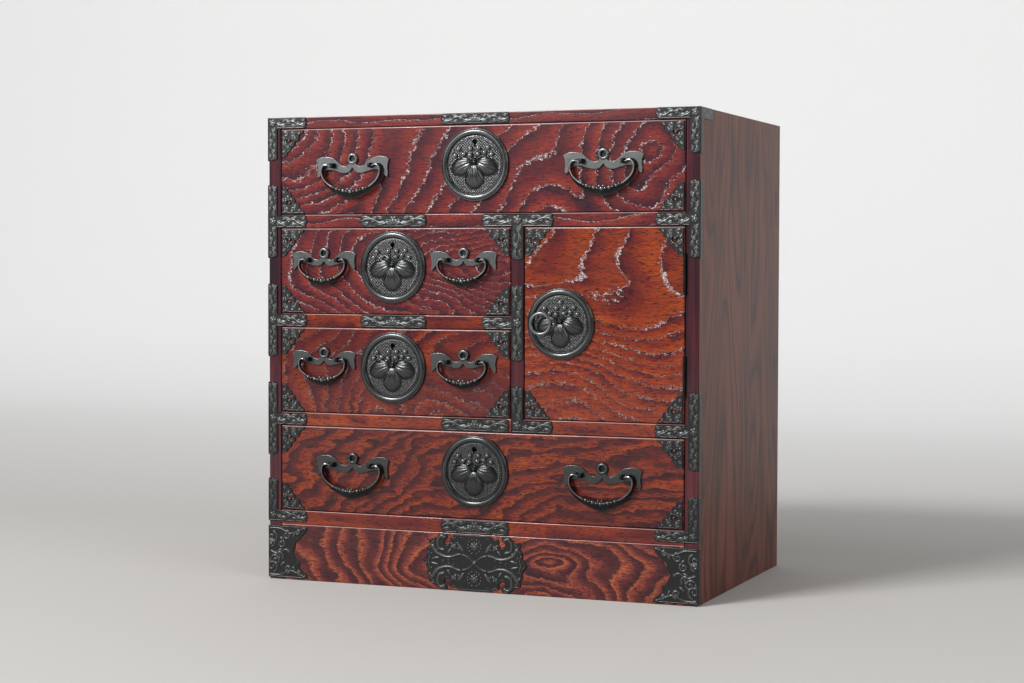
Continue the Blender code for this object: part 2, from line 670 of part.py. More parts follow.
def handle_plate(width, post_offset):
    """A bat-shaped plate about its round eye, with two eyes for the bail's pins."""
    right = [(x * width, z * width) for x, z in HANDLE_SHARES]
    outline = right + [(-x, z) for x, z in reversed(right[1:-1])]
    face = -FIT - HANDLE_PLATE
    plate = prism(outline, -FIT, face)
    profile = [(EYE_RADIUS * share, face - EYE_RISE * rise) for share, rise in EYE_SHARES]
    profile += [(EYE_RADIUS, -FIT - BITE / 2), (0, -FIT - BITE / 2)]
    eye = turned(profile, 12)
    posts, bores = [], []
    for side in (-1, 1):
        pivot = (side * post_offset, -PIVOT_PROUD, -POST_DROP)
        posts.append(rod(pivot, POST_RADIUS, POST_WIDTH, "X", 8))
        low_x, high_x = pivot[0] - POST_WIDTH / 2, pivot[0] + POST_WIDTH / 2
        neck = POST_RADIUS * POST_NECK_SHARE
        posts.append(
            box(
                (low_x, -PIVOT_PROUD, -POST_DROP - neck),
                (high_x, -FIT - HANDLE_PLATE / 2, -POST_DROP + neck),
            )
        )
        bores.append(rod(pivot, POST_HOLE_RADIUS, POST_WIDTH + 2 * OVERRUN, "X", 8))
    return carved(plate, [eye, *posts], bores)


def bail_mesh(width, drop, post_offset):
    """A hanging bail about the middle of its pivot line."""
    thick = BAIL_SHARES[0][2] * drop
    half = width / 2 - thick
    inner = post_offset - POST_WIDTH / 2 - PIN_END
    outer = post_offset + POST_WIDTH / 2 + PIN_END
    right = [(inner, 0, 0, PIN_RADIUS, PIN_RADIUS), (outer, 0, 0, PIN_RADIUS, PIN_RADIUS)]
    for index, (across, down, share) in enumerate(BAIL_SHARES):
        reach = min(index / LEG_POINTS, 1)
        deep = BAIL_DEPTH / 2 * (LEG_DEPTH_SHARE + (1 - LEG_DEPTH_SHARE) * reach)
        if index == 0:
            deep *= TIP_DEPTH_SHARE
        right.append((across * half, 0, down * drop, share * drop, deep))
    left = [(-x, y, z, wide, deep) for x, y, z, wide, deep in right[:-1]]
    return carved(swept(left + right[::-1], 6))


def handles(name, places, height, parent, plate, bail, iron):
    """A drawer's two handle plates with their bails."""
    for across, word in zip(places, ("left", "right")):
        eye = Vector((across, FRONT, height))
        place(f"{name}_{word}_handle_plate", plate, iron, eye, parent, smooth=35)
        pivot = eye - Vector((0, PIVOT_PROUD, POST_DROP))
        place(f"{name}_{word}_bail", bail, iron, pivot, parent, smooth=50)


def drawer(name, left, right, row, lock_plate, plate, bail, handle_place, finishes):
    """A drawer: front with its lock, box behind it, round plate and two handles."""
    wood, box_wood, iron, steel = finishes
    bottom, top = row_floor(row), row_floor(row) + ROW_HEIGHT
    middle, row_middle = (left + right) / 2, (bottom + top) / 2
    slide = axis_empty(f"{name}_slide", (middle, FRONT, row_middle))
    x0, x1, z0, z1 = left + REVEAL, right - REVEAL, bottom + REVEAL, top - REVEAL
    base = chamfered_box((x0, FRONT, z0), (x1, FRONT + FRONT_BOARD, z1), FRONT_EDGE)
    key_height = row_middle + CREST_RAISE + KEYHOLE_RAISE_SHARE * CREST_DIAMETER / 2
    near, far = FRONT + BOLT_SET, FRONT + BOLT_SET + BOLT_THICKNESS
    half = BOLT_WIDTH / 2
    mortise = box(
        (middle - half - FIT, near - FIT, key_height - KEY_ROOM),
        (middle + half + FIT, far + FIT, z1 + OVERRUN),
    )
    hole = keyhole(middle, key_height, far, FRONT - OVERRUN)
    front = carved(base, corner_plates(x0, x1, z0, z1), [mortise, hole])
    iron_on_front(front, wood, iron)
    place(f"{name}_front", moved_to(front, slide.location), wood, slide.location, slide)

    outer_low = Vector((left + DRAWER_SIDE_GAP, FRONT + FRONT_BOARD + FIT, bottom + FIT))
    outer_high = Vector(
        (right - DRAWER_SIDE_GAP, BACK - BACK_PANEL - DRAWER_BACK_SPACE, top - DRAWER_HEADROOM)
    )
    hollow = box(
        outer_low + Vector((DRAWER_WALL, -OVERRUN, DRAWER_FLOOR)),
        outer_high + Vector((-DRAWER_WALL, -DRAWER_WALL, OVERRUN)),
    )
    tray = carved(box(outer_low, outer_high), cut=[hollow])
    place(f"{name}_box", moved_to(tray, slide.location), box_wood, slide.location, slide)

    bolt = carved(
        chamfered_box((-half, near, 0), (half, far, z1 - BOLT_SUNK - key_height), BOARD_EDGE)
    )
    place(f"{name}_lock_bolt", bolt, steel, (middle, 0, key_height), slide)
    plate_at = (middle, FRONT, row_middle + CREST_RAISE)
    place(f"{name}_lock_plate", lock_plate, iron, plate_at, slide, smooth=35)
    inset, raised = handle_place
    handles(name, (left + inset, right - inset), row_middle + raised, slide, plate, bail, iron)


def hinge_axis():
    return INNER_HALF - HINGE_GAP / 2, FRONT - FIT - KNUCKLE_RADIUS


def hinge_middles():
    """Heights of the middles of the two hinges."""
    low, high = row_floor(1) + REVEAL, row_floor(3) - RAIL - REVEAL
    return low + HINGE_RISE, high - HINGE_RISE


def hinge_recess(side, middle):
    """The recess for a leaf: side is 1 in the case, -1 in the door."""
    edge = INNER_HALF if side > 0 else INNER_HALF - HINGE_GAP
    low, high = sorted((edge - side * OVERRUN, edge + side * (HINGE_LEAF + FIT)))
    half = HINGE_LENGTH / 2 + FIT
    return box((low, FRONT - OVERRUN, middle - half), (high, FRONT + HINGE_LEAF_DEPTH + FIT, middle + half))


def hinge_leaf(side, middle):
    """A leaf with its knuckles: two outer ones and the pin on the case, the middle one on the door."""
    axis_x, axis_y = hinge_axis()
    edge = INNER_HALF if side > 0 else INNER_HALF - HINGE_GAP
    low, high = sorted((edge, edge + side * HINGE_LEAF))
    half = HINGE_LENGTH / 2
    third = HINGE_LENGTH / 3
    leaf = box((low, FRONT, middle - half), (high, FRONT + HINGE_LEAF_DEPTH, middle + half))
    if side > 0:
        spans = [(middle - half, middle - half + third), (middle + half - third, middle + half)]
    else:
        spans = [(middle - third / 2 + FIT, middle + third / 2 - FIT)]
    joined, cut = [], []
    for bottom, top in spans:
        centre = (axis_x, axis_y, (bottom + top) / 2)
        joined.append(rod(centre, KNUCKLE_RADIUS, top - bottom, "Z", 12))
        joined.append(box((low, axis_y, bottom), (high, FRONT + OVERRUN, top)))
    if side > 0:
        pin_length = HINGE_LENGTH - third
        joined.append(rod((axis_x, axis_y, middle), HINGE_PIN_RADIUS, pin_length, "Z", 8))
    else:
        cut.append(rod((axis_x, axis_y, middle), HINGE_BORE_RADIUS, third, "Z", 10))
    return carved(leaf, joined, cut)


def door(finishes, door_plate, ring):
    """The door with its hinges, round plate and ring."""
    wood, iron = finishes
    axis_x, axis_y = hinge_axis()
    left, right = DIVIDER_RIGHT + REVEAL, INNER_HALF - HINGE_GAP
    bottom, top = row_floor(1) + REVEAL, row_floor(3) - RAIL - REVEAL
    hinge = axis_empty("door_hinge_axis", (axis_x, axis_y, (bottom + top) / 2))
    base = chamfered_box((left, FRONT, bottom), (right, FRONT + FRONT_BOARD, top), FRONT_EDGE)
    recesses = [hinge_recess(-1, middle) for middle in hinge_middles()]
    panel = carved(base, corner_plates(left, right, bottom, top), recesses)
    iron_on_front(panel, wood, iron)
    place("door_panel", moved_to(panel, hinge.location), wood, hinge.location, hinge)
    for word, middle in zip(("lower", "upper"), hinge_middles()):
        place(f"{word}_hinge_case_leaf", hinge_leaf(1, middle), iron)
        leaf = moved_to(hinge_leaf(-1, middle), hinge.location)
        place(f"{word}_hinge_door_leaf", leaf, iron, hinge.location, hinge)
    plate_at = Vector((DIVIDER_RIGHT + DOOR_CREST_INSET, FRONT, (bottom + top) / 2))
    place("door_round_plate", door_plate, iron, plate_at, hinge, smooth=35)
    pivot = plate_at + Vector((-RING_OFFSET, -RING_RISE, (RING_DIAMETER - RING_WIRE) / 2))
    place("door_ring", ring, iron, pivot, hinge, smooth=60)


def build():
    for old in list(bpy.data.objects):
        bpy.data.objects.remove(old)
    red_wood = material("red_lacquered_wood", (0.26, 0.045, 0.022), 0.28, 0)
    side_wood = material("brown_side_wood", (0.15, 0.055, 0.04), 0.42, 0)
    pale_wood = material("pale_inner_wood", (0.55, 0.38, 0.22), 0.6, 0)
    iron = material("black_iron", (0.022, 0.023, 0.024), 0.4, 0.7)
    steel = material("bolt_steel", (0.4, 0.4, 0.4), 0.35, 1)
    case(red_wood, side_wood, pale_wood, iron)
    frame_plates(iron)
    lock_plate = crest(CREST_DIAMETER, True, False)
    large = (
        handle_plate(LARGE_HANDLE_WIDTH, LARGE_POST_OFFSET),
        bail_mesh(LARGE_BAIL_WIDTH, LARGE_BAIL_DROP, LARGE_POST_OFFSET),
        (LARGE_HANDLE_INSET, LARGE_EYE_RAISE),
    )
    small = (
        handle_plate(SMALL_HANDLE_WIDTH, SMALL_POST_OFFSET),
        bail_mesh(SMALL_BAIL_WIDTH, SMALL_BAIL_DROP, SMALL_POST_OFFSET),
        (SMALL_HANDLE_INSET, SMALL_EYE_RAISE),
    )
    finishes = (red_wood, pale_wood, iron, steel)
    drawer("bottom_drawer", -INNER_HALF, INNER_HALF, 0, lock_plate, *large, finishes)
    drawer("lower_small_drawer", -INNER_HALF, DIVIDER_LEFT, 1, lock_plate, *small, finishes)
    drawer("upper_small_drawer", -INNER_HALF, DIVIDER_LEFT, 2, lock_plate, *small, finishes)
    drawer("top_drawer", -INNER_HALF, INNER_HALF, 3, lock_plate, *large, finishes)
    door((red_wood, iron), crest(DOOR_CREST_DIAMETER, False, True), ring_mesh())


build()
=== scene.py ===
# Small tansu: lacquered zelkova, embossed iron plates, drop handles and crested lock plates.
# Metres, +Z up, the front faces -Y. The frame gives the places, this file gives the looks.
import json
from math import atan2, cos, pi, radians, sin

import bmesh
import bpy
import numpy as np
from mathutils import Matrix, Vector
from mathutils.geometry import delaunay_2d_cdt, tessellate_polygon
from mathutils.kdtree import KDTree


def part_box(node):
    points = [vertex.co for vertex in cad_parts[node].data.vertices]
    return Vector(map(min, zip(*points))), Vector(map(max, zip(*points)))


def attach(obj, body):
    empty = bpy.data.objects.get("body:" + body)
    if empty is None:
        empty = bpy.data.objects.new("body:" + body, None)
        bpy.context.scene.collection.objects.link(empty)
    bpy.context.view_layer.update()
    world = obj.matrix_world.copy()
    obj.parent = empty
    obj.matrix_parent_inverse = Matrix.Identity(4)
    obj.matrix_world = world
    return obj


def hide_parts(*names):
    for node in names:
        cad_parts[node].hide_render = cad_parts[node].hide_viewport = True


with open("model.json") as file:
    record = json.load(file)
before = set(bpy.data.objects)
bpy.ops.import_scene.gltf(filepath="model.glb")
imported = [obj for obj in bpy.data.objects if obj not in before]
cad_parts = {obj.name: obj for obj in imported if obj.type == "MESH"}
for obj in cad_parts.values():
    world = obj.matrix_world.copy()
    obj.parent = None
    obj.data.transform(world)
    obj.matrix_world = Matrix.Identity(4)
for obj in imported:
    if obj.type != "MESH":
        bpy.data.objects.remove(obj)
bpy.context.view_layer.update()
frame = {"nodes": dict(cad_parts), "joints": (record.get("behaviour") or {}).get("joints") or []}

mm = 0.001
nodes = frame["nodes"]
pivots = {joint["child"]: Vector(joint["pos_m"]) for joint in frame["joints"] if "pos_m" in joint}
drawers = ["bottom_drawer", "lower_small_drawer", "upper_small_drawer", "top_drawer"]
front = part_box("plinth_board")[0].y  # the plane of the boards' faces
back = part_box("case_back")[1].y
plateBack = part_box("divider_upper_tee_plate")[1].y  # the back of the iron plates
rng = np.random.default_rng(7)
studs = {}  # places of nails, berries and beads, gathered by body and kind


# Meshes and pieces

def middle(node):
    low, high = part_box(node)
    return (low + high) / 2


def linked(name, data):  # a new object in the scene
    made = bpy.data.objects.new(name, data)
    bpy.context.scene.collection.objects.link(made)
    return made


def piece(name, mesh, body, finish, replaced=()):
    mesh.name = name
    mesh.materials.clear()
    mesh.materials.append(finish)
    made = linked(name, mesh)
    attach(made, body)
    if replaced:
        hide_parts(*replaced)
    return made


def softened(mesh, sharpAngle):  # smooth up to an angle
    mesh.shade_smooth()
    mesh.set_sharp_from_angle(angle=radians(sharpAngle))
    return mesh


def shaded(mesh, sharpAngle):  # the same, but the flat faces along the axes stay flat
    softened(mesh, sharpAngle)
    for face in mesh.polygons:
        if max(abs(part) for part in face.normal) > 0.9999:
            face.use_smooth = False
    return mesh


def meshOf(shape, sharpAngle=40):  # the mesh of a bmesh, its faces turned outwards
    bmesh.ops.recalc_face_normals(shape, faces=shape.faces)
    mesh = bpy.data.meshes.new("shape")
    shape.to_mesh(mesh)
    shape.free()
    return shaded(mesh, sharpAngle)


def movedCopy(mesh, matrix):
    made = mesh.copy()
    made.transform(matrix)
    if matrix.determinant() < 0:
        made.flip_normals()
    return made


def joined(meshes):
    shape = bmesh.new()
    for mesh in meshes:
        shape.from_mesh(mesh)
    made = bpy.data.meshes.new("joined")
    shape.to_mesh(made)
    shape.free()
    return made


def applied(made):  # the mesh of an object with its modifiers applied
    return bpy.data.meshes.new_from_object(made.evaluated_get(bpy.context.evaluated_depsgraph_get()))


def cutFrom(mesh, cutters):
    helper = linked("blank", mesh)
    tools = [linked("cutter", cutter) for cutter in cutters]
    for tool in tools:
        cut = helper.modifiers.new("cut", "BOOLEAN")
        cut.operation = "DIFFERENCE"
        cut.object = tool
    made = applied(helper)
    for each in [helper, *tools]:
        bpy.data.objects.remove(each)
    return shaded(made, 50)


def bevelled(shape, edges, radius, segments):
    bmesh.ops.bevel(shape, geom=edges, offset=radius, segments=segments, profile=0.5, affect="EDGES")


def boxShape(low, high):
    shape = bmesh.new()
    bmesh.ops.create_cube(shape, size=1)
    size = Matrix.Diagonal((*(high - low), 1))
    bmesh.ops.transform(shape, matrix=Matrix.Translation((low + high) / 2) @ size, verts=shape.verts)
    return shape


def roundedBox(low, high, radius, segments=3):
    shape = boxShape(Vector(low), Vector(high))
    if radius:
        bevelled(shape, shape.edges[:], radius, segments)
    return meshOf(shape, 60)


def slabShape(outline, near, far):  # an outline of (x, z) points drawn out along Y
    shape = bmesh.new()
    face = shape.faces.new([shape.verts.new((x, near, z)) for x, z in outline])
    made = bmesh.ops.extrude_face_region(shape, geom=[face], use_keep_orig=True)
    moved = [item for item in made["geom"] if isinstance(item, bmesh.types.BMVert)]
    bmesh.ops.translate(shape, vec=(0, far - near, 0), verts=moved)
    return shape


def lathe(profile, sides, centre, sharpAngle=35):
    # Turned about Y from (radius, height in front of the centre) points, closed on the axis or on itself.
    shape = bmesh.new()
    turns = [2 * pi * k / sides for k in range(sides)]
    rings = [
        [shape.verts.new((centre[0] + radius * cos(turn), centre[1] - high, centre[2] + radius * sin(turn)))
         for turn in (turns if radius else turns[:1])]
        for radius, high in profile
    ]
    pairs = list(zip(rings, rings[1:]))
    if profile[0][0] and profile[-1][0]:
        pairs.append((rings[-1], rings[0]))
    for near, far in pairs:
        for k in range(sides):
            after = k + 1
            corners = [near[k % len(near)], near[after % len(near)], far[after % len(far)], far[k % len(far)]]
            corners = list(dict.fromkeys(corners))
            if len(corners) > 2:
                shape.faces.new(corners)
    return meshOf(shape, sharpAngle)


def curveThrough(points, steps):  # a smooth curve through points, without the last one
    points = [Vector(point) for point in points]
    padded = [2 * points[0] - points[1], *points, 2 * points[-1] - points[-2]]
    path = []
    for a, b, c, d in zip(padded, padded[1:], padded[2:], padded[3:]):
        for t in [step / steps for step in range(steps)]:
            cubic = (2 * a - 5 * b + 4 * c - d) * t ** 2 + (3 * b - a - 3 * c + d) * t ** 3
            path.append(0.5 * (2 * b + (c - a) * t + cubic))
    return path


def smoothed(runs, steps=4):  # a closed outline: each run is a smooth curve, with corners between runs
    return [point for run in runs for point in curveThrough(run, steps if len(run) > 2 else 1)]


def scaled(runs, wide, tall, lift=0):  # runs from shares to metres
    return [[(x * wide, z * tall + lift) for x, z in run] for run in runs]


def array(points):
    return np.array([tuple(point) for point in points])


# Relief

def nearLine(spots, line):  # distance of each spot to a line of points, and how far along it that is
    starts, along = line[:-1], line[1:] - line[:-1]
    lengths = (along ** 2).sum(1) + 1e-18
    gap = spots[:, None] - starts[None]
    share = np.clip((gap * along[None]).sum(2) / lengths, 0, 1)
    squared = ((gap - share[..., None] * along[None]) ** 2).sum(2)
    best = squared.argmin(1)
    rows = np.arange(len(spots))
    return np.sqrt(squared[rows, best]), (best + share[rows, best]) / len(starts)


def insideLoop(spots, loop):
    held = np.zeros(len(spots), bool)
    for (x0, y0), (x1, y1) in zip(loop, np.roll(loop, -1, 0)):
        if y0 != y1:
            crosses = (spots[:, 1] < y0) != (spots[:, 1] < y1)
            held ^= crosses & (spots[:, 0] < x0 + (spots[:, 1] - y0) * (x1 - x0) / (y1 - y0))
    return held


def evenLoop(loop, step):  # the same loop with points about a step apart, its corners kept
    made = []
    for start, end in zip(loop, np.roll(loop, -1, 0)):
        count = max(1, round(float(np.hypot(*(end - start))) / step))
        made += [start + (end - start) * k / count for k in range(count)]
    return np.array(made)


class Relief:  # how far a pattern rises at each of many spots
    def __init__(self, spots):
        self.spots = spots
        self.rise = np.zeros(len(spots))

    def near(self, line, reach):
        low, high = line.min(0) - reach, line.max(0) + reach
        return np.flatnonzero(((self.spots > low) & (self.spots < high)).all(1))

    def raiseTo(self, rows, rise):
        self.rise[rows] = np.maximum(self.rise[rows], rise)

    def vine(self, line, width, rise, taper=0.4):
        line = array(line)
        rows = self.near(line, width)
        if len(rows):
            gap, along = nearLine(self.spots[rows], line)
            half = width / 2 * (1 - taper * along)
            self.raiseTo(rows, rise * np.sqrt(np.clip(1 - (gap / half) ** 2, 0, 1)))

    def dome(self, centre, radius, rise):
        centre = array([centre])
        rows = self.near(centre, radius)
        gap = np.hypot(*(self.spots[rows] - centre).T)
        self.raiseTo(rows, rise * np.sqrt(np.clip(1 - (gap / radius) ** 2, 0, 1)))

    def flower(self, centre, radius, petals, rise):
        centre = array([centre])
        rows = self.near(centre, radius)
        x, y = (self.spots[rows] - centre).T
        gap, angle = np.hypot(x, y), np.arctan2(y, x)
        edge = radius * (0.6 + 0.4 * np.abs(np.cos(petals * angle / 2)))
        bowl = np.clip(1 - (gap / edge) ** 4, 0, 1) * (0.4 + 0.6 * np.clip(gap / edge, 0, 1))
        self.raiseTo(rows, rise * bowl)
        self.dome(centre[0], radius * 0.28, rise * 1.1)

    def leaf(self, base, tip, width, rise, veins=7, veinDepth=0.25, swell=0.8, blunt=0.7, pillow=0.5):
        base, tip = array([base, tip])
        length = np.hypot(*(tip - base))
        ahead = (tip - base) / length
        rows = self.near(np.array([base, tip]), width)
        off = self.spots[rows] - base
        along = np.clip(off @ ahead / length, 0, 1)
        across = off @ np.array([-ahead[1], ahead[0]])
        inside = np.clip(along, 0.001, 0.999)
        edge = width / 2 * np.sin(pi * inside ** swell) ** blunt
        fan = np.arctan2(across, (along + 0.12) * length)
        edge = edge * (1 + 0.05 * np.cos(fan * 30)) + 1e-9
        dome = np.clip(1 - (across / edge) ** 2, 0, 1) ** pillow
        dome = dome * np.sin(pi * inside ** 0.8) ** (0.8 * pillow)
        groove = np.abs(np.cos(fan * veins)) ** 6 + np.exp(-((across / (0.05 * width)) ** 2))
        shape = dome * (1 - veinDepth * np.clip(groove, 0, 1))
        shape[(along <= 0) | (along >= 1)] = 0
        self.raiseTo(rows, rise * shape)

    def curls(self, at, rows, turns, steps, width, taper, ball, rise):  # curls with a ball at the end
        for x, z, heading, radius, hand in rows:
            curl = scroll(at(x, z), heading, radius * mm, turns, hand, steps)
            self.vine(curl, width * mm, rise, taper)
            self.dome(curl[-1], ball * mm, rise)


def scroll(start, heading, radius, turns, hand, steps):  # a curl that leaves a place along a heading
    centre = Vector(start) + Vector((-sin(heading), cos(heading))) * hand * radius
    first = heading - hand * pi / 2
    turned = [first + hand * turns * 2 * pi * k / steps for k in range(steps + 1)]
    return [
        centre + Vector((cos(turn), sin(turn))) * radius * (1 - 0.8 * k / steps)
        for k, turn in enumerate(turned)
    ]


vineLeaves = [
    (0.34, 0.14, 1.10, 0.44, 0.44, 1.05), (0.34, 0.08, -0.16, 0.44, 0.36, 1.0),
    (0.48, -0.20, 1.06, -0.44, 0.34, 0.95),
]  # base and tip in bends and widths, then width and height in shares of the vine's own


def vineBand(relief, start, end, width, rise, hand=1):  # a running vine with leaves, curls and berries
    start, run = Vector(start), Vector(end) - Vector(start)
    heading = atan2(run.y, run.x)
    ahead, side = run.normalized(), Vector((-sin(heading), cos(heading))) * hand
    bends = max(1, round(run.length / (1.3 * width)))
    half = run.length / bends
    sway = 0.24 * width
    at = lambda along, across: start + ahead * half * along + side * width * across
    stem = [at(k / 10, 0) + side * sway * sin(pi * k / 10) for k in range(bends * 10 + 1)]
    relief.vine(stem, 0.13 * width, rise, 0)
    for bend in range(bends):
        up = 1 if bend % 2 == 0 else -1
        for x0, z0, x1, z1, wide, high in vineLeaves:
            base, tip = at(bend + x0, z0 * up), at(bend + x1, z1 * up)
            relief.leaf(base, tip, wide * width, rise * high, 4, 0.4)
        root = at(bend + 0.16, -0.04 * up)
        curl = scroll(root, heading - up * hand * 0.5, 0.19 * width, 1.0, up * hand, 14)
        relief.vine(curl, 0.12 * width, rise * 0.9, 0.3)
        relief.dome(at(bend + 0.44, -0.38 * up), 0.06 * width, rise * 0.8)


plateSizes = {
    "thick": 1.25 * mm,  # at the sunk ground
    "lip": 0.6 * mm,  # radius of the rounded edge
    "cell": 0.65 * mm,  # of the mesh
    "rowStep": 0.866,  # from row to row of even triangles, in cells
    "border": 1.15 * mm,  # from the edge to the raised line
    "borderWidth": 1.0 * mm,
    "borderRise": 0.5 * mm,
    "fade": 0.6 * mm,  # over which the pattern starts beside the raised line
    "rise": 1.0 * mm,  # of vines and leaves
    "grain": 0.12 * mm,  # of the punched ground
    "endDepth": 3.4 * mm,  # of a bracket-shaped end
    "nailInset": 5 * mm,
    "wearAndShine": 1.0,  # how light the raised parts are painted: rubbed wear and painted highlight
}


def onFront(across, up, out):
    return across, plateBack - out, up


def gapFinder(loops, step):  # tells how far spots are from the nearest loop
    rim = np.concatenate([evenLoop(loop, step) for loop in loops])
    tree = KDTree(len(rim))
    for index, (x, y) in enumerate(rim):
        tree.insert((x, y, 0), index)
    tree.balance()
    return lambda spots: np.array([tree.find((x, y, 0))[2] for x, y in spots])


def meshBetween(loops, edgeGap, cell, rowStep):  # even triangles inside the first loop and outside the others
    low, high = loops[0].min(0), loops[0].max(0)
    levels = np.arange(low[1], high[1], cell * rowStep)
    grid = np.array([
        (x + (row % 2) * cell / 2, y)
        for row, y in enumerate(levels) for x in np.arange(low[0], high[0], cell)
    ])
    keep = insideLoop(grid, loops[0])
    for hole in loops[1:]:
        keep &= ~insideLoop(grid, hole)
    grid = grid[keep]
    grid = grid[edgeGap(grid) > cell * 0.5]
    edges, first = [], 0
    for loop in loops:
        edges += [(first + k, first + (k + 1) % len(loop)) for k in range(len(loop))]
        first += len(loop)
    corners = [Vector(spot) for spot in np.concatenate([*loops, grid])]
    made = delaunay_2d_cdt(corners, edges, [], 1, 1e-7)
    spots, faces = array(made[0]), array(made[2])
    centres = spots[faces].mean(1)
    for hole in loops[1:]:
        outside = ~insideLoop(centres, hole)
        faces, centres = faces[outside], centres[outside]
    return spots, faces


def plateRise(relief, gap, size):  # the pattern with the punched ground and the raised line round it
    line = gap - size["border"]
    rise = relief.rise * np.clip((line - size["borderWidth"] * 0.3) / size["fade"], 0, 1)
    ground = (rise < size["grain"]) & (gap > size["border"] + size["borderWidth"])
    rise[ground] += rng.uniform(0, size["grain"], ground.sum())
    bead = 1 - (line / (size["borderWidth"] / 2)) ** 2
    return np.maximum(rise, size["borderRise"] * np.sqrt(np.clip(bead, 0, 1)))


def closing(spots, faces, loops):  # the spots at the back's rim, and the faces of the walls and the back
    sides = np.concatenate([faces[:, (0, 1)], faces[:, (1, 2)], faces[:, (2, 0)]])
    known = {tuple(side) for side in sides.tolist()}
    border = [side for side in known if (side[1], side[0]) not in known]
    foot = {index: len(spots) + k for k, index in enumerate(sorted({side[0] for side in border}))}
    walls = [(b, a, foot[a], foot[b]) for a, b in border]
    micron = lambda spot: tuple(np.round(np.array(spot) * 1e6).astype(int))
    byPlace = {micron(spots[index]): foot[index] for index in foot}
    rims = [micron(spot) for loop in loops for spot in loop]
    rounds = [[Vector((x, y, 0)) for x, y in loop] for loop in loops]
    backs = [tuple(byPlace.get(rims[k], -1) for k in corners) for corners in tessellate_polygon(rounds)]
    return spots[sorted(foot)], walls + [corners for corners in backs if min(corners) >= 0]


def embossed(outline, pattern, place=onFront, holes=(), **changes):
    # A closed plate with a raised pattern. Outlines run anticlockwise, seen from outside.
    size = {**plateSizes, **changes}
    cell = size["cell"]
    loops = [
        evenLoop(array(loop), cell * 1.2).astype(np.float32).astype(float)
        for loop in (outline, *holes)
    ]
    edgeGap = gapFinder(loops, cell * 0.3)
    spots, faces = meshBetween(loops, edgeGap, cell, size["rowStep"])
    relief, gap = Relief(spots), edgeGap(spots)
    pattern(relief)
    rise = plateRise(relief, gap, size)
    near = np.clip(gap / size["lip"], 0, 1)
    out = size["thick"] + rise - size["lip"] * (1 - np.sqrt(1 - (1 - near) ** 2))
    footSpots, shut = closing(spots, faces, loops)
    flat = np.zeros(len(footSpots))
    across, up = np.concatenate([spots, footSpots]).T
    placed = np.stack(np.broadcast_arrays(*place(across, up, np.concatenate([out, flat]))), 1)
    mesh = bpy.data.meshes.new("plate")
    mesh.from_pydata(placed.tolist(), [], faces.tolist() + shut)
    raised = mesh.attributes.new("raised", "FLOAT", "POINT")
    share = size["wearAndShine"] * np.clip(rise / size["rise"], 0, 1) ** 1.8  # most of all on the crests: rubbed wear and a painted highlight
    raised.data.foreach_set("value", np.concatenate([share, flat]).astype(np.float32))
    return softened(mesh, 65)


def setWearAndHighlight(mesh, rule):  # how worn the iron is at each point, and how much painted highlight or painted shade it carries
    stored = mesh.attributes.get("raised") or mesh.attributes.new("raised", "FLOAT", "POINT")
    stored.data.foreach_set("value", [rule(vertex.co) for vertex in mesh.vertices])


# Studs: one tree puts balls on points, which carry their own size and turn

def studTree():
    tree = bpy.data.node_groups.new("studsOnPoints", "GeometryNodeTree")
    for name, way, kind in (
        ("Geometry", "INPUT", "Geometry"), ("Segments", "INPUT", "Int"), ("Rings", "INPUT", "Int"),
        ("Finish", "INPUT", "Material"), ("Geometry", "OUTPUT", "Geometry"),
    ):
        tree.interface.new_socket(name, in_out=way, socket_type="NodeSocket" + kind)
    start, end = tree.nodes.new("NodeGroupInput"), tree.nodes.new("NodeGroupOutput")
    ball, spread, real, smooth, finish, size, turn = (tree.nodes.new("GeometryNode" + kind) for kind in (
        "MeshUVSphere", "InstanceOnPoints", "RealizeInstances", "SetShadeSmooth", "SetMaterial",
        "InputNamedAttribute", "InputNamedAttribute",
    ))
    ball.inputs["Radius"].default_value = 1
    for attribute, name in ((size, "studSize"), (turn, "studTurn")):
        attribute.data_type = "FLOAT_VECTOR"
        attribute.inputs["Name"].default_value = name
    for source, output, target, socket in (
        (start, "Segments", ball, "Segments"), (start, "Rings", ball, "Rings"),
        (start, "Geometry", spread, "Points"), (ball, "Mesh", spread, "Instance"),
        (size, "Attribute", spread, "Scale"), (turn, "Attribute", spread, "Rotation"),
        (spread, "Instances", real, "Geometry"), (real, "Geometry", smooth, "Geometry"),
        (smooth, "Geometry", finish, "Geometry"), (start, "Finish", finish, "Material"),
        (finish, "Geometry", end, "Geometry"),
    ):
        tree.links.new(source.outputs[output], target.inputs[socket])
    return tree


def addStud(body, spot, size, turn=(0, 0, 0), kind="nails"):
    studs.setdefault((body, kind), []).append((tuple(spot), tuple(size), tuple(turn)))


def frontNail(body, across, up, radius=1.3 * mm):
    addStud(body, (across, plateBack - plateSizes["thick"], up), (radius, radius * 0.6, radius))


def makeStuds(tree, body, kind, rows, finish, segments, rings, wearAndShine):
    mesh = bpy.data.meshes.new("points")
    mesh.from_pydata([spot for spot, _, _ in rows], [], [])
    for name, column in (("studSize", 1), ("studTurn", 2)):
        stored = mesh.attributes.new(name, "FLOAT_VECTOR", "POINT")
        stored.data.foreach_set("vector", [value for row in rows for value in row[column]])
    points = linked("points", mesh)
    modifier = points.modifiers.new("studs", "NODES")
    modifier.node_group = tree
    values = {"Segments": segments, "Rings": rings, "Finish": finish}
    for item in tree.interface.items_tree:
        if item.in_out == "INPUT" and item.name in values:
            modifier[item.identifier] = values[item.name]
    made = applied(points)
    bpy.data.objects.remove(points)
    setWearAndHighlight(made, lambda spot: wearAndShine)
    piece(f"{body}_{kind}", made, body, finish)


# Finishes

def newShader(name):
    finish = bpy.data.materials.new(name)
    finish.use_nodes = True
    return finish, finish.node_tree, finish.node_tree.nodes["Principled BSDF"]


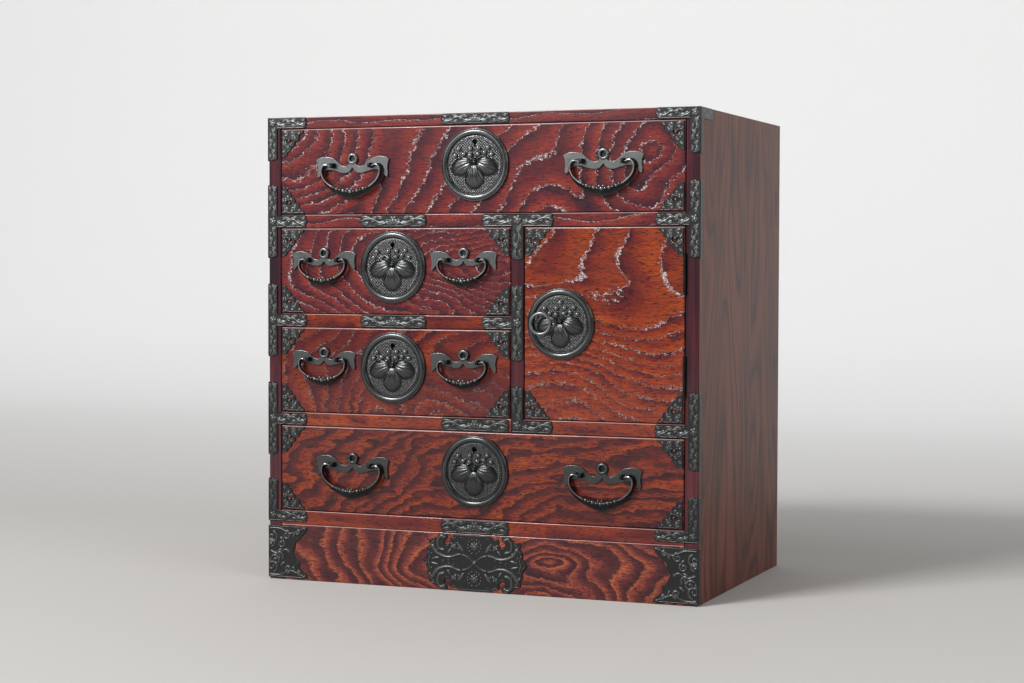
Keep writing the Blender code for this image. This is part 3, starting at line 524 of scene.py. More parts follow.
def fill(tree, made, inputs):  # sockets are linked, plain values are set
    for name, value in dict(inputs).items():
        if isinstance(value, bpy.types.NodeSocket):
            tree.links.new(value, made.inputs[name])
        else:
            made.inputs[name].default_value = value
    return made


def node(tree, kind, inputs=(), **settings):
    made = tree.nodes.new("ShaderNode" + kind)
    for name, value in settings.items():
        setattr(made, name, value)
    return fill(tree, made, inputs)


def calc(tree, operation, *values, kind="Math"):
    return node(tree, kind, enumerate(values), operation=operation).outputs[0]


def mapped(tree, value, toMin, toMax, fromMin=0.0, fromMax=1.0):
    inputs = {"Value": value, "From Min": fromMin, "From Max": fromMax, "To Min": toMin, "To Max": toMax}
    return node(tree, "MapRange", inputs).outputs[0]


def clamped(tree, value):
    return node(tree, "Clamp", {"Value": value}).outputs[0]


def bump(tree, height, strength, distance, invert=False):
    inputs = {"Height": height, "Strength": strength, "Distance": distance}
    return node(tree, "Bump", inputs, invert=invert).outputs["Normal"]


def axis(tree, kind, name):  # one part of the object coordinates or of the normal
    return node(tree, "SeparateXYZ", {0: node(tree, "TexCoord").outputs[kind]}).outputs[name]


def noise(tree, spots, detail=2.0, roughness=0.5, distortion=0.0, scale=1.0):
    inputs = {
        "Vector": spots, "Scale": scale, "Detail": detail, "Roughness": roughness, "Distortion": distortion,
    }
    return node(tree, "TexNoise", inputs).outputs["Fac"]


def solid(tone):
    return (*tone, 1) if isinstance(tone, tuple) else (tone, tone, tone, 1)


def ramp(tree, factor, stops):
    made = node(tree, "ValToRGB", {"Fac": factor})
    elements = made.color_ramp.elements
    for index, (place, tone) in enumerate(stops):
        if index < 2:
            stop = elements[index]
            stop.position = place
        else:
            stop = elements.new(place)
        stop.color = solid(tone)
    return made.outputs["Color"]


def mix(tree, factor, one, other):
    one, other = (solid(tone) if isinstance(tone, tuple) else tone for tone in (one, other))
    return node(tree, "Mix", {0: factor, 6: one, 7: other}, data_type="RGBA").outputs[2]


def mixNoise(tree, wood, tone, spots, detail, roughness, stops):  # a tone laid on by a noise, and its mask
    share = ramp(tree, noise(tree, spots, detail, roughness), stops)
    return mix(tree, share, wood, tone), share


def stretched(tree, scale, shift=(0, 0, 0), turn=(0, 0, 0)):  # object coordinates, drawn out along the grain
    inputs = {
        "Vector": node(tree, "TexCoord").outputs["Object"], "Scale": scale,
        "Location": shift, "Rotation": turn,
    }
    return node(tree, "Mapping", inputs).outputs["Vector"]


redTones = {
    "bright": (0.40, 0.070, 0.009),
    "red": (0.25, 0.030, 0.009),
    "wine": (0.095, 0.011, 0.013),
    "dark": (0.020, 0.005, 0.008),
    # painted reflection: the bright and the dimmer sheen painted into the pore lines
    "silver": (0.58, 0.55, 0.56),
    "dimPoreSheen": (0.16, 0.11, 0.12),
    "pore": (0.030, 0.012, 0.013),
    # the pale colour of the painted highlight on edges that look up
    "edge": (0.62, 0.42, 0.40),
}
lacquer = {"Specular IOR Level": 0.1, "Coat Weight": 0.5, "Coat Roughness": 0.11}
crimsonTones = {
    **redTones, "bright": (0.33, 0.046, 0.024), "red": (0.205, 0.024, 0.020), "wine": (0.078, 0.014, 0.021),
    "dark": (0.022, 0.008, 0.014),
}


def wobble(tree, spots, size, detail, roughness):  # a wandering offset, for bending a pattern
    inputs = {"Vector": spots, "Scale": 1, "Detail": detail, "Roughness": roughness}
    made = node(tree, "TexNoise", inputs).outputs["Color"]
    centred = calc(tree, "SUBTRACT", made, (0.5, 0.5, 0.5), kind="VectorMath")
    return calc(tree, "MULTIPLY", centred, (size, size, size), kind="VectorMath")


woodSizes = {
    "spacing": 13 * mm,  # of the year rings
    "widen": 1.0,  # below 1 the rings stand further apart away from their centre
    "count": 1.0,
    "warp": 120 * mm,  # how far the rings wander
    "warpScale": (6, 6, 9),
    "jag": 22 * mm,  # of the pore lines
    "jagScale": (110, 110, 170),
    "line": 0.075,  # width of a pore line, as a share of a ring
    # how strong the painted reflection in the pore lines is
    "silver": 1.0,
    "streak": 0.35,  # how much of a ring is dark
    "start": "red",  # the tone at which a ring starts
    "patch": 0.35,
    "inner": 0.15,  # strength of the finer rings within a ring
    "calm": 0.45,  # how far the rings fade in patches
    "shift": (0, 0, 0),
    "flat": False,  # drawn on a lying board, with y in place of z
}


def paintedEdgeHighlight(tree, wood):  # a painted highlight: a pale line where a rounded edge looks up towards the light
    edge = ramp(tree, axis(tree, "Normal", "Z"), [(0.28, 0.0), (0.97, 0.0), (0.50, 0.75), (0.82, 0.75)])
    return mix(tree, edge, wood, redTones["edge"])


def ringLevel(tree, laid, centres, size):  # how many year rings lie between a spot and the nearest centre
    spacing, bent = size["spacing"], laid(1, 1, 1, (0, 0, 0))
    for scale, reach, detail, roughness in (
        (size["warpScale"], size["warp"], 1.5, 0.45), (size["jagScale"], size["jag"], 2, 0.6)
    ):
        offset = wobble(tree, laid(*scale), reach, detail, roughness)
        bent = calc(tree, "ADD", bent, offset, kind="VectorMath")
    level = None
    for x, z, wide, tall, behind in centres:
        fit = (1 / (wide * spacing), 0, 1 / (tall * spacing))
        off = node(tree, "Mapping", {"Vector": bent, "Scale": fit, "Location": (-x * fit[0], 0, -z * fit[2])})
        far = node(tree, "VectorMath", {0: off.outputs[0]}, operation="LENGTH").outputs["Value"]
        far = calc(tree, "MULTIPLY_ADD", calc(tree, "POWER", far, size["widen"]), size["count"], -behind)
        level = far if level is None else calc(tree, "SMOOTH_MIN", level, far, 1.5)
    return level


def ringTones(tree, laid, level, ring, tone, size):  # the rings, each a little different, fading in patches
    dim = size["streak"]
    number = {"W": calc(tree, "FLOOR", level)}
    chance = node(tree, "TexWhiteNoise", number, noise_dimensions="1D").outputs["Value"]
    wood = ramp(tree, ring, [
        (0.0, tone[size["start"]]), (1.0, tone["dark"]), (0.20, tone["bright"]),
        (0.62 - 0.3 * dim, tone["red"]), (0.93 - 0.4 * dim, tone["wine"]), (0.98 - 0.2 * dim, tone["dark"]),
    ])
    third = calc(tree, "FRACT", calc(tree, "MULTIPLY", level, 3))
    wood = mix(tree, ramp(tree, third, [(0.45, 0.0), (1.0, size["inner"])]), wood, tone["dark"])
    wood = mix(tree, calc(tree, "MULTIPLY", chance, 0.35), wood, tone["wine"])
    calm = ramp(tree, noise(tree, laid(8, 8, 16), scale=3.1), [(0.42, 0.0), (0.60, size["calm"])])
    return mix(tree, calm, wood, mix(tree, 0.4, tone["red"], tone["bright"]))


def poreLine(tree, laid, ring, size):  # broken, of changing width, at the start of each ring
    swell = ramp(tree, noise(tree, laid(24, 24, 30)), [(0.44, 0.35), (0.66, 1.0)])
    width = calc(tree, "MULTIPLY", swell, size["line"] * 2.4)
    line = clamped(tree, calc(tree, "DIVIDE", calc(tree, "SUBTRACT", width, ring), 0.05))
    broken = ramp(tree, noise(tree, laid(330, 330, 520), 2, 0.7), [(0.42, 0.12), (0.52, 1.0)])
    return calc(tree, "MULTIPLY", line, broken)


def redWood(name, centres, silverTop=None, tone=redTones, **changes):
    # Lacquered zelkova. The rings are ovals round the centres (x, z, width, height, rings taken off),
    # bent by noise, and each one starts with a jagged line of open pores.
    size = {**woodSizes, **changes}
    finish, tree, shader = newShader(name)

    def laid(x, y, z, shift=size["shift"]):
        scale, turn = ((x, z, y), (pi / 2, 0, 0)) if size["flat"] else ((x, y, z), (0, 0, 0))
        return stretched(tree, scale, shift, turn)

    level = ringLevel(tree, laid, centres, size)
    ring = calc(tree, "FRACT", level)
    wood = ringTones(tree, laid, level, ring, tone, size)
    for scale, detail, roughness, stops, word in (
        ((9, 9, 18), 3, 0.55, [(0.40, 0.0), (0.66, size["patch"])], "wine"),
        ((60, 60, 700), 3, 0.6, [(0.38, 0.6), (0.54, 0.0)], "wine"),
        ((150, 150, 900), 1, 0.5, [(0.57, 0.0), (0.66, 0.85)], "dark"),
    ):  # clouds, fibres, and last the short dashes of the pores
        wood, dash = mixNoise(tree, wood, tone[word], laid(*scale), detail, roughness, stops)
    line = poreLine(tree, laid, ring, size)
    # painted reflection: the pore lines take a sheen where they would catch the light
    shine = size["silver"]
    if silverTop:  # the painted reflection in the pore lines fades from one height to another, weaker lower down
        shine = mapped(tree, axis(tree, "Object", "Z"), 0.45, shine, *silverTop)
    glint = ramp(tree, noise(tree, laid(420, 420, 520), 1), [(0.42, 0.0), (0.56, 1.0)])
    poresAndSheen = mix(tree, shine, tone["pore"], mix(tree, glint, tone["dimPoreSheen"], tone["silver"]))
    grain = calc(tree, "ADD", line, calc(tree, "MULTIPLY", dash, 0.5))
    fill(tree, shader, {
        "Base Color": paintedEdgeHighlight(tree, mix(tree, line, wood, poresAndSheen)),
        "Normal": bump(tree, grain, 0.5, 0.0004, True),
        "Roughness": mapped(tree, line, 0.34, 0.45), **lacquer,
    })
    return finish


def stileFinish():  # straight upright grain
    finish, tree, shader = newShader("stileWood")
    tone, shift = crimsonTones, (0, 3, 5)
    band = noise(tree, stretched(tree, (130, 130, 5), shift), 3, 0.55, 0.3)
    wood = ramp(tree, band, [(0.34, tone["dark"]), (1.0, tone["red"]), (0.60, tone["wine"])])
    spots = stretched(tree, (9, 9, 14), shift)
    wood, _ = mixNoise(tree, wood, tone["dark"], spots, 2, 0.5, [(0.4, 0.0), (0.7, 0.4)])
    fill(tree, shader, {
        "Base Color": wood, "Normal": bump(tree, band, 0.25, 0.0004), "Roughness": 0.34, **lacquer,
    })
    return finish


def sideWood(name, shift):  # satin upright grain of the case's sides
    finish, tree, shader = newShader(name)
    field = noise(tree, stretched(tree, (10, 10, 1.6), shift), 1.5, 0.45, 0.8)
    wander = noise(tree, stretched(tree, (70, 70, 12), shift))
    ring = calc(tree, "FRACT", calc(tree, "MULTIPLY_ADD", field, 10, calc(tree, "MULTIPLY", wander, 0.4)))
    wood = ramp(tree, ring, [
        (0.0, (0.055, 0.016, 0.010)), (1.0, (0.040, 0.012, 0.009)), (0.14, (0.180, 0.050, 0.025)),
        (0.50, (0.230, 0.064, 0.032)), (0.80, (0.138, 0.038, 0.021)),
    ])
    cloud = stretched(tree, (9, 9, 3.5), shift)
    wood, _ = mixNoise(tree, wood, (0.075, 0.022, 0.015), cloud, 2, 0.5, [(0.42, 0.0), (0.68, 0.55)])
    fibre = noise(tree, stretched(tree, (500, 500, 18), shift), 3, 0.6)
    wood = mix(tree, ramp(tree, fibre, [(0.36, 0.5), (0.54, 0.0)]), wood, (0.05, 0.016, 0.011))
    fill(tree, shader, {
        "Base Color": wood, "Normal": bump(tree, fibre, 0.3, 0.0003), "Roughness": 0.36,
        "Specular IOR Level": 0.14,
    })
    return finish


def paleWood(name, scale, sideScale):  # bare wood, its grain turned on the faces that look sideways
    finish, tree, shader = newShader(name)
    sideways = calc(tree, "GREATER_THAN", calc(tree, "ABSOLUTE", axis(tree, "Normal", "X")), 0.7)
    plain, turned = [noise(tree, stretched(tree, each), 3, 0.6, 0.5) for each in (scale, sideScale)]
    band = calc(tree, "MULTIPLY_ADD", sideways, calc(tree, "SUBTRACT", turned, plain), plain)
    wood = ramp(tree, band, [(0.3, (0.36, 0.22, 0.12)), (0.7, (0.62, 0.45, 0.28))])
    fill(tree, shader, {"Base Color": wood, "Normal": bump(tree, band, 0.3, 0.0003), "Roughness": 0.6})
    return finish


def ironFinish(name, ground, wornAndLit, roughGround, roughWorn, mottle, low, dotHighlight=0.0):
    # Blackened iron, lighter and smoother where its stored share is high: rubbed wear on raised parts, and
    # painted highlights; and, as painted light, lighter towards the top of the case.
    # Its ground can be punched, the punched dots painted lighter as a painted highlight.
    finish, tree, shader = newShader(name)
    raised = node(tree, "Attribute", attribute_name="raised").outputs["Fac"]
    patch = noise(tree, stretched(tree, (60, 60, 60)), 3, 0.6)
    share = calc(tree, "MULTIPLY_ADD", calc(tree, "SUBTRACT", patch, 0.5), mottle,
                 calc(tree, "POWER", raised, 1.3))
    pits = noise(tree, stretched(tree, (900, 900, 900)), 2, 0.6)
    # the punched dots are pitted, and painted lighter as a painted highlight
    if dotHighlight:
        cells = {
            "Vector": stretched(tree, (1, 1, 1), turn=(pi / 2, 0, pi / 4)), "Scale": 330, "Randomness": 0.3,
        }
        cells = node(tree, "TexVoronoi", cells, voronoi_dimensions="2D").outputs["Distance"]
        flat = ramp(tree, raised, [(0.008, 1.0), (0.03, 0.0)])
        punched = calc(tree, "MULTIPLY", ramp(tree, cells, [(0.18, 1.0), (0.5, 0.0)]), flat)
        share = calc(tree, "MULTIPLY_ADD", punched, dotHighlight, share)
        pits = calc(tree, "MULTIPLY_ADD", punched, 4, pits)
    # painted light: the share falls towards the bottom of the case, where less light falls
    fade = mapped(tree, axis(tree, "Object", "Z"), low, 1.0, 0.12, 0.60)
    share = calc(tree, "MULTIPLY", clamped(tree, share), fade)
    fill(tree, shader, {
        "Base Color": mix(tree, share, ground, wornAndLit), "Normal": bump(tree, pits, 0.25, 0.0002),
        "Roughness": mapped(tree, share, roughGround, roughWorn), "Metallic": 0.9,
    })
    return finish


def steelFinish():
    finish, tree, shader = newShader("boltSteel")
    drawn = ramp(tree, noise(tree, stretched(tree, (900, 900, 60)), 2, 0.6), [(0.3, 0.30), (0.7, 0.46)])
    fill(tree, shader, {"Base Color": drawn, "Metallic": 1, "Roughness": 0.35})
    return finish


iron = ironFinish("embossedIron", (0.038, 0.039, 0.039), (0.205, 0.211, 0.211), 0.34, 0.26, 0.25, 0.42)
smoothIron = ironFinish("handleIron", (0.022, 0.023, 0.024), (0.34, 0.35, 0.352), 0.30, 0.27, 0.3, 0.30)
bailIron = ironFinish("bailIron", (0.022, 0.023, 0.024), (0.60, 0.61, 0.61), 0.30, 0.20, 0.1, 0.30)
crestIron = ironFinish("crestIron", (0.026, 0.027, 0.028), (0.36, 0.37, 0.37), 0.19, 0.20, 0.1, 0.5, 0.52)
keyShade, tree, shader = newShader("keyholeShade")  # the dark inside of the keyholes
fill(tree, shader, {"Base Color": solid(0.003), "Roughness": 0.9})
boltSteel, stileWood = steelFinish(), stileFinish()
upperRailWood = redWood(
    "upperRailWood", [(-0.15, 1.3, 3.0, 1.0, 0)], tone=crimsonTones, spacing=19 * mm, warp=60 * mm,
    jag=8 * mm, silver=0.6, patch=0.7, line=0.05, streak=0.2,
)
railWood = redWood(
    "railWood", [(0.1, 1.0, 3.0, 1.0, 0)], spacing=24 * mm, warp=40 * mm, jag=8 * mm, silver=0.0,
    patch=0.8, line=0.0, streak=0.3, calm=0.8, shift=(2, 1, 4),
)
innerWood = paleWood("drawerWood", (3, 60, 60), (60, 3, 60))
backWood = paleWood("backWood", (60, 60, 3), (60, 60, 3))
frontWoods = {
    "top_drawer": redWood(
        "topDrawerWood", [(-0.37, 0.70, 1.25, 0.80, 0), (0.11, 0.49, 1.4, 1.9, 0), (0.27, 0.64, 1.8, 2.4, 0)],
        tone=crimsonTones, shift=(2.3, 0, 5.1), spacing=11 * mm, widen=0.72, count=1.5, warp=90 * mm,
        line=0.06, streak=0.6, calm=0.3,
    ),
    "upper_small_drawer": redWood(
        "upperDrawerWood", [(0.03, 0.475, 2.6, 0.9, 0)], tone=crimsonTones, shift=(7.9, 0, 1.4),
        spacing=10 * mm, warp=90 * mm, line=0.06, jag=14 * mm, silver=0.8, patch=0.7, streak=0.6,
    ),
    "lower_small_drawer": redWood(
        "lowerDrawerWood", [(0.05, 0.34, 2.6, 0.9, 0), (-0.14, 0.23, 0.9, 1.2, 0)],
        tone={**redTones, "bright": (0.34, 0.056, 0.009), "red": (0.21, 0.025, 0.009)},
        shift=(4.4, 0, 8.2), silver=0.35, line=0.06, patch=0.85, spacing=16 * mm, streak=0.8,
    ),
    "bottom_drawer": redWood(
        "bottomDrawerWood", [(0.34, -0.20, 1.5, 1.0, 0)],
        tone={**redTones, "bright": (0.42, 0.068, 0.010), "red": (0.25, 0.029, 0.009),
              "wine": (0.060, 0.008, 0.011), "dark": (0.012, 0.004, 0.007)},
        shift=(1.2, 0, 3.7), spacing=21 * mm, warp=140 * mm, jag=38 * mm, jagScale=(28, 28, 85), silver=0.0,
        streak=0.5, start="wine", line=0.0, patch=0.4, inner=0.7, calm=0.15,
    ),
    "door": redWood(
        "doorWood", [(0.20, 0.10, 3.5, 1.0, 15), (0.34, 0.49, 3.3, 3.2, 0), (0.15, 0.222, 1.7, 0.85, 11)],
        (0.28, 0.46), shift=(9.5, 0, 6.6), spacing=19 * mm, patch=0.25, line=0.06, streak=0.15,
        warp=120 * mm, calm=0.7,
    ),
    "plinth": redWood(
        "plinthWood", [(0.118, 0.045, 1.7, 0.9, 0), (-0.42, 0.02, 1.4, 1.2, 0)],
        tone={**redTones, "bright": (0.52, 0.125, 0.045), "red": (0.28, 0.050, 0.028),
              "wine": (0.095, 0.018, 0.022)},
        shift=(5.6, 0, 2.9), spacing=16 * mm, warp=150 * mm, warpScale=(7, 7, 14), jag=12 * mm, silver=0.0,
        streak=0.8, start="dark", line=0.05, patch=0.1, inner=0.5, calm=0.1,
    ),
}
topWood = redWood(
    "topWood", [(-0.20, 0.03, 6.0, 1.0, 0), (0.50, -0.16, 5.0, 1.1, 0)], tone=crimsonTones, flat=True,
    spacing=20 * mm, warp=70 * mm, warpScale=(3, 6, 9), jag=10 * mm, silver=0.5, line=0.055, patch=0.4,
    streak=0.6, shift=(3.1, 0, 6.4),
)
print("finishes", len(bpy.data.materials))


# Boards

boardSizes = {
    "edge": 1.3 * mm,  # rounding of the case's boards
    "frontEdge": 1.9 * mm,  # rounding of the drawer fronts and the door
    "side": 20 * mm,
    "sideGap": 0.3 * mm,
    "keyRaise": 0.62,  # above the plate's middle, as a share of its radius
    "keyRadius": 3.9 * mm,
    "keySlot": 1.3 * mm,  # half its width
    "keyDrop": 7 * mm,
    "keySteps": 20,
    "keyWide": 6 * mm,  # half the room round the keyhole
    "keyTall": 9 * mm,
    "keyRoom": 8 * mm,
    "boltGap": 0.4 * mm,
    "boltThrow": 8 * mm,
    "leafGap": 0.3 * mm,
    "leafDepth": 14.3 * mm,
}
rails = {"case_top": "top_drawer", "upper_shelf": "upper_small_drawer", "middle_shelf": "lower_small_drawer",
         "lower_shelf": "bottom_drawer", "case_bottom": None}  # with the drawer whose bolt each one takes


def keyhole(across, up):  # a round hole with a short slot under it, anticlockwise
    radius, half, drop, steps = (boardSizes[key] for key in ("keyRadius", "keySlot", "keyDrop", "keySteps"))
    missing = np.arcsin(half / radius)
    turns = [missing - pi / 2 + (2 * pi - 2 * missing) * k / steps for k in range(steps + 1)]
    ring = [(across + radius * cos(turn), up + radius * sin(turn)) for turn in turns]
    return ring + [(across - half, up - drop), (across + half, up - drop)]


def keyPlace(drawer):
    low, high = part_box(drawer + "_lock_plate")
    return (low.x + high.x) / 2, (low.z + high.z) / 2 + boardSizes["keyRaise"] * (high.z - low.z) / 2


def pocketOver(drawer):  # what the thrown bolt needs in the rail above
    low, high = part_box(drawer + "_lock_bolt")
    gap = Vector((mm, mm, 0))
    return roundedBox(
        low - gap, high + gap + Vector((0, 0, boardSizes["boltThrow"] + boardSizes["boltGap"])), 0,
    )


def withHingeRooms(board, side):
    gap, depth = boardSizes["leafGap"], boardSizes["leafDepth"]
    boxes = [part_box(f"{level}_hinge_{side}_leaf") for level in ("lower", "upper")]
    return cutFrom(board, [
        roundedBox((low.x - gap, front - mm, low.z - gap), (high.x + gap, front + depth, high.z + gap), 0)
        for low, high in boxes
    ])


def dressed(name, finish):  # a solid of the frame that stays in sight
    nodes[name].data.materials.clear()
    nodes[name].data.materials.append(finish)


def faced(made, finish, rule):  # another finish on some of the faces
    made.data.materials.append(finish)
    for face in made.data.polygons:
        if rule(face):
            face.material_index = 1


def makeDrawerFront(drawer):
    size = boardSizes
    low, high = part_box(drawer + "_front")
    boltLow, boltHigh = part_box(drawer + "_lock_bolt")
    across, up = keyPlace(drawer)
    gap = Vector((size["boltGap"], size["boltGap"], 0))
    mortise = roundedBox(
        (*(boltLow - gap).xy, boltLow.z - size["keyRoom"]), (*(boltHigh + gap).xy, high.z + mm), 0,
    )
    hole = meshOf(slabShape(keyhole(across, up), front - mm, boltHigh.y))
    board = cutFrom(roundedBox((low.x, front, low.z), high, size["frontEdge"], 4), [mortise, hole])
    made = piece(f"{drawer}_panel", board, drawer, frontWoods[drawer], [drawer + "_front"])

    def inKeyhole(face):
        x, y, z = face.center
        near = abs(x - across) < size["keyWide"] and abs(z - up) < size["keyTall"]
        return near and front + 0.5 * mm < y < high.y - mm

    faced(made, keyShade, inKeyhole)
    dressed(drawer + "_box", innerWood)
    dressed(drawer + "_lock_bolt", boltSteel)


def makeBoards():
    size = boardSizes
    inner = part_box("case_top")[1].x + size["sideGap"]
    for side, word in ((-1, "left"), (1, "right")):
        name = f"case_{word}_side"
        edges = sorted((side * inner, side * (inner + size["side"])))
        board = roundedBox((edges[0], front, 0), (edges[1], back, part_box(name)[1].z), size["edge"])
        if side > 0:
            board = withHingeRooms(board, "case")
        wood = sideWood(f"{word}SideWood", (side, 2.0, 0.4))
        made = piece(f"{name}_board", board, "case", wood, [name])
        faced(made, stileWood, lambda face: face.normal.y < -0.7)  # the front edge shows as a stile
    for name, drawer in rails.items():
        low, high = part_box(name)
        board = roundedBox((low.x, front, low.z), high, size["edge"])
        if drawer:
            board = cutFrom(board, [pocketOver(drawer)])
        top = name == "case_top"
        wood = upperRailWood if top or name == "upper_shelf" else railWood
        made = piece(f"{name}_board", board, "case", wood, [name])
        if top:
            faced(made, topWood, lambda face: face.normal.z > 0.7)
    for drawer in drawers:
        makeDrawerFront(drawer)
    low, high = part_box("door_panel")
    board = withHingeRooms(roundedBox((low.x, front, low.z), high, size["frontEdge"], 4), "door")
    piece("door_board", board, "door", frontWoods["door"], ["door_panel"])
    for name, wood in (("divider", stileWood), ("plinth_board", frontWoods["plinth"])):
        piece(f"{name}_panel", roundedBox(*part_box(name), size["edge"]), "case", wood, [name])
    dressed("case_back", backWood)
    for level in ("lower", "upper"):
        for side in ("case", "door"):
            dressed(f"{level}_hinge_{side}_leaf", smoothIron)


makeBoards()
print("boards made")


# Plates of the case

endShares = [(0, 0), (0.05, 0.42), (0.14, 0.55), (0.24, 0.5), (0.36, 0.86), (0.5, 1)]  # half of a plate's end


def plateEnd(start, end, depth):  # a bracket-shaped end; the plate lies to the left of start-end
    start, run = Vector(start), Vector(end) - Vector(start)
    out = Vector((run.y, -run.x)).normalized() * depth
    shares = endShares + [(1 - across, high) for across, high in reversed(endShares[:-1])]
    curve = smoothed([[start + run * across + out * high for across, high in shares]], 3)
    return curve + [start + run]


def crossOutline(x0, x1, z0, z1, arm0, arm1, leftTip, rightTip):
    # A stem and an arm: ends that stand free are bracket-shaped. Anticlockwise from below.
    depth, made = plateSizes["endDepth"], []
    below, above, left, right = z0 < arm0, z1 > arm1, leftTip is not None, rightTip is not None
    if below:
        made += plateEnd((x0, z0 + depth), (x1, z0 + depth), depth)
    else:
        made += ([] if left else [(x0, z0)]) + ([] if right else [(x1, z0)])
    if right:
        made += [(x1, arm0)] if below else []
        made += plateEnd((rightTip - depth, arm0), (rightTip - depth, arm1), depth)
        made += [(x1, arm1)] if above else []
    if above:
        made += plateEnd((x1, z1 - depth), (x0, z1 - depth), depth)
    else:
        made += ([] if right else [(x1, z1)]) + ([] if left else [(x0, z1)])
    if left:
        made += [(x0, arm1)] if above else []
        made += plateEnd((leftTip + depth, arm1), (leftTip + depth, arm0), depth)
        made += [(x0, arm0)] if below else []
    return made


def crossPattern(x0, x1, z0, z1, arm0, arm1, leftTip, rightTip):
    def pattern(relief):
        rise, gap = plateSizes["rise"], 1.8 * mm
        wide, tall = x1 - x0 - 2 * gap, arm1 - arm0 - 2 * gap
        centre, level = (x0 + x1) / 2, (arm0 + arm1) / 2
        relief.flower((centre, level), min(wide, tall) * 0.5, 5, rise * 1.1)
        if z0 < arm0:
            vineBand(relief, (centre, arm0), (centre, z0 + gap), wide, rise)
        if z1 > arm1:
            vineBand(relief, (centre, arm1), (centre, z1 - gap), wide, rise, -1)
        if leftTip is not None:
            vineBand(relief, (x0, level), (leftTip + gap, level), tall, rise)
        if rightTip is not None:
            vineBand(relief, (x1, level), (rightTip - gap, level), tall, rise, -1)
    return pattern


def crossPlate(name, replaced, x0, x1, arm0, arm1, low, high):
    # low and high are the plate's corners in the front plane; arms go where they reach past the stem.
    leftTip = low.x if low.x < x0 - mm else None
    rightTip = high.x if high.x > x1 + mm else None
    shape = (x0, x1, low.z, high.z, arm0, arm1, leftTip, rightTip)
    piece(name, embossed(crossOutline(*shape), crossPattern(*shape)), "case", iron, replaced)
    inset, centre, level = plateSizes["nailInset"], (x0 + x1) / 2, (arm0 + arm1) / 2
    nails = [(centre, low.z + inset), (centre, high.z - inset)]
    nails += [(leftTip + inset, level)] if leftTip is not None else []
    nails += [(rightTip - inset, level)] if rightTip is not None else []
    for across, up in nails:
        frontNail("case", across, up)


stileSizes = {
    "inner": 325.3 * mm,  # from the middle of the case to the plate's inner edge
    "outer": 341.5 * mm,
    "face": 340.3 * mm,  # the plane of the side returns' backs
    "lap": 1.6 * mm,  # how far a return reaches in front of the boards
    "turn": 12 * mm,  # how far it runs along the side
    "thick": 0.95 * mm,
    "topArm": 57 * mm,  # length of its arm along the top
    "armMargin": 0.5 * mm,
    "footTip": 275 * mm,  # from the middle of the case
    "footLift": 4 * mm,
    "footHeight": 65 * mm,
    "endDepth": 3 * mm,  # of the arm's bracket-shaped end
    "rise": 0.35 * mm,  # of the vines
    "stemVine": (7 * mm, 9 * mm, 14 * mm),  # from the front edge, its width, and its end below the top
    "armVine": (6 * mm, 13 * mm),  # from the front edge, and its width
    "relief": {"borderRise": 0.25 * mm, "cell": 0.9 * mm, "rise": 0.5 * mm, "grain": 0.05 * mm},
    "nailLine": 6.5 * mm,  # behind the plane of the boards' faces
    "nailShare": 0.2,  # of the height, from either end
    "nail": (0.5 * mm, 1.3 * mm, 1.3 * mm),
}


def sideReturn(name, side, low, high, arm=None):
    # The part of a stile plate that lies on the case's side, embossed where it has an arm along the top.
    size, depth, rise = stileSizes, stileSizes["endDepth"], stileSizes["rise"]
    near, turn, tip = (front + reach for reach in (-size["lap"], size["turn"], size["topArm"]))
    outline = [(near, low), (turn, low), (turn, high), (near, high)]
    if arm:
        outline[2:3] = [(turn, arm), *plateEnd((tip - depth, arm), (tip - depth, high), depth)]
    if side < 0:  # seen from the left, the outline runs the other way round
        outline = [(-across, up) for across, up in reversed(outline)]

    def pattern(relief):
        relief.spots = relief.spots * (side, 1)
        if arm:
            level = (arm + high) / 2
            (stem, stemWidth, below), (start, armWidth) = size["stemVine"], size["armVine"]
            vineBand(relief, (near + stem, low), (near + stem, high - below), stemWidth, rise)
            vineBand(relief, (near + start, level), (tip, level), armWidth, rise)

    place = lambda across, up, out: (side * (size["face"] + out), side * across, up)
    mesh = embossed(outline, pattern, place, thick=size["thick"], **size["relief"])
    edge = (high - low) * size["nailShare"]
    for up in (low + edge, high - edge):
        addStud("case", (side * (size["face"] + size["thick"]), front + size["nailLine"], up), size["nail"])
    piece(name, mesh, "case", iron)


def makeFramePlates():
    size = stileSizes
    arms = {}
    for level, board in zip(("corner", "upper", "middle", "lower", "foot"), rails):
        low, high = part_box(board)
        arms[level] = (low.z + size["armMargin"], high.z - size["armMargin"])
    stems = {side: sorted((side * size["inner"], side * size["outer"])) for side in (-1, 1)}
    for name in [name for name in nodes if name.endswith(("_tee_plate", "_corner_plate", "_angle_plate"))]:
        low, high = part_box(name)
        corner = "corner" in name
        arm0, arm1 = arms["corner" if corner else name.split("_")[1]]
        if name.startswith("divider"):
            x0, x1 = (edge.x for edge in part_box("divider"))
            crossPlate(name + "_relief", [name], x0 + 0.5 * mm, x1 - 0.5 * mm, arm0, arm1, low, high)
            continue
        side = -1 if low.x < 0 else 1
        low.x, high.x = max(low.x, -size["outer"]), min(high.x, size["outer"])
        crossPlate(name + "_relief", [name], *stems[side], arm0, high.z if corner else arm1, low, high)
        sideReturn(name + "_return", side, low.z, high.z, arm0 if corner else None)
    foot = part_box("case_bottom")[0].z + size["footLift"]
    for side, word in ((-1, "left"), (1, "right")):
        x0, x1 = sorted((side * size["outer"], side * size["footTip"]))
        low, high = Vector((x0, 0, foot)), Vector((x1, 0, foot + size["footHeight"]))
        crossPlate(f"{word}_foot_angle", [], *stems[side], foot, arms["foot"][1], low, high)
        sideReturn(f"{word}_foot_angle_return", side, low.z, high.z)


makeFramePlates()
print("frame plates made")


strapSizes = {"length": 109 * mm, "margin": 0.5 * mm}


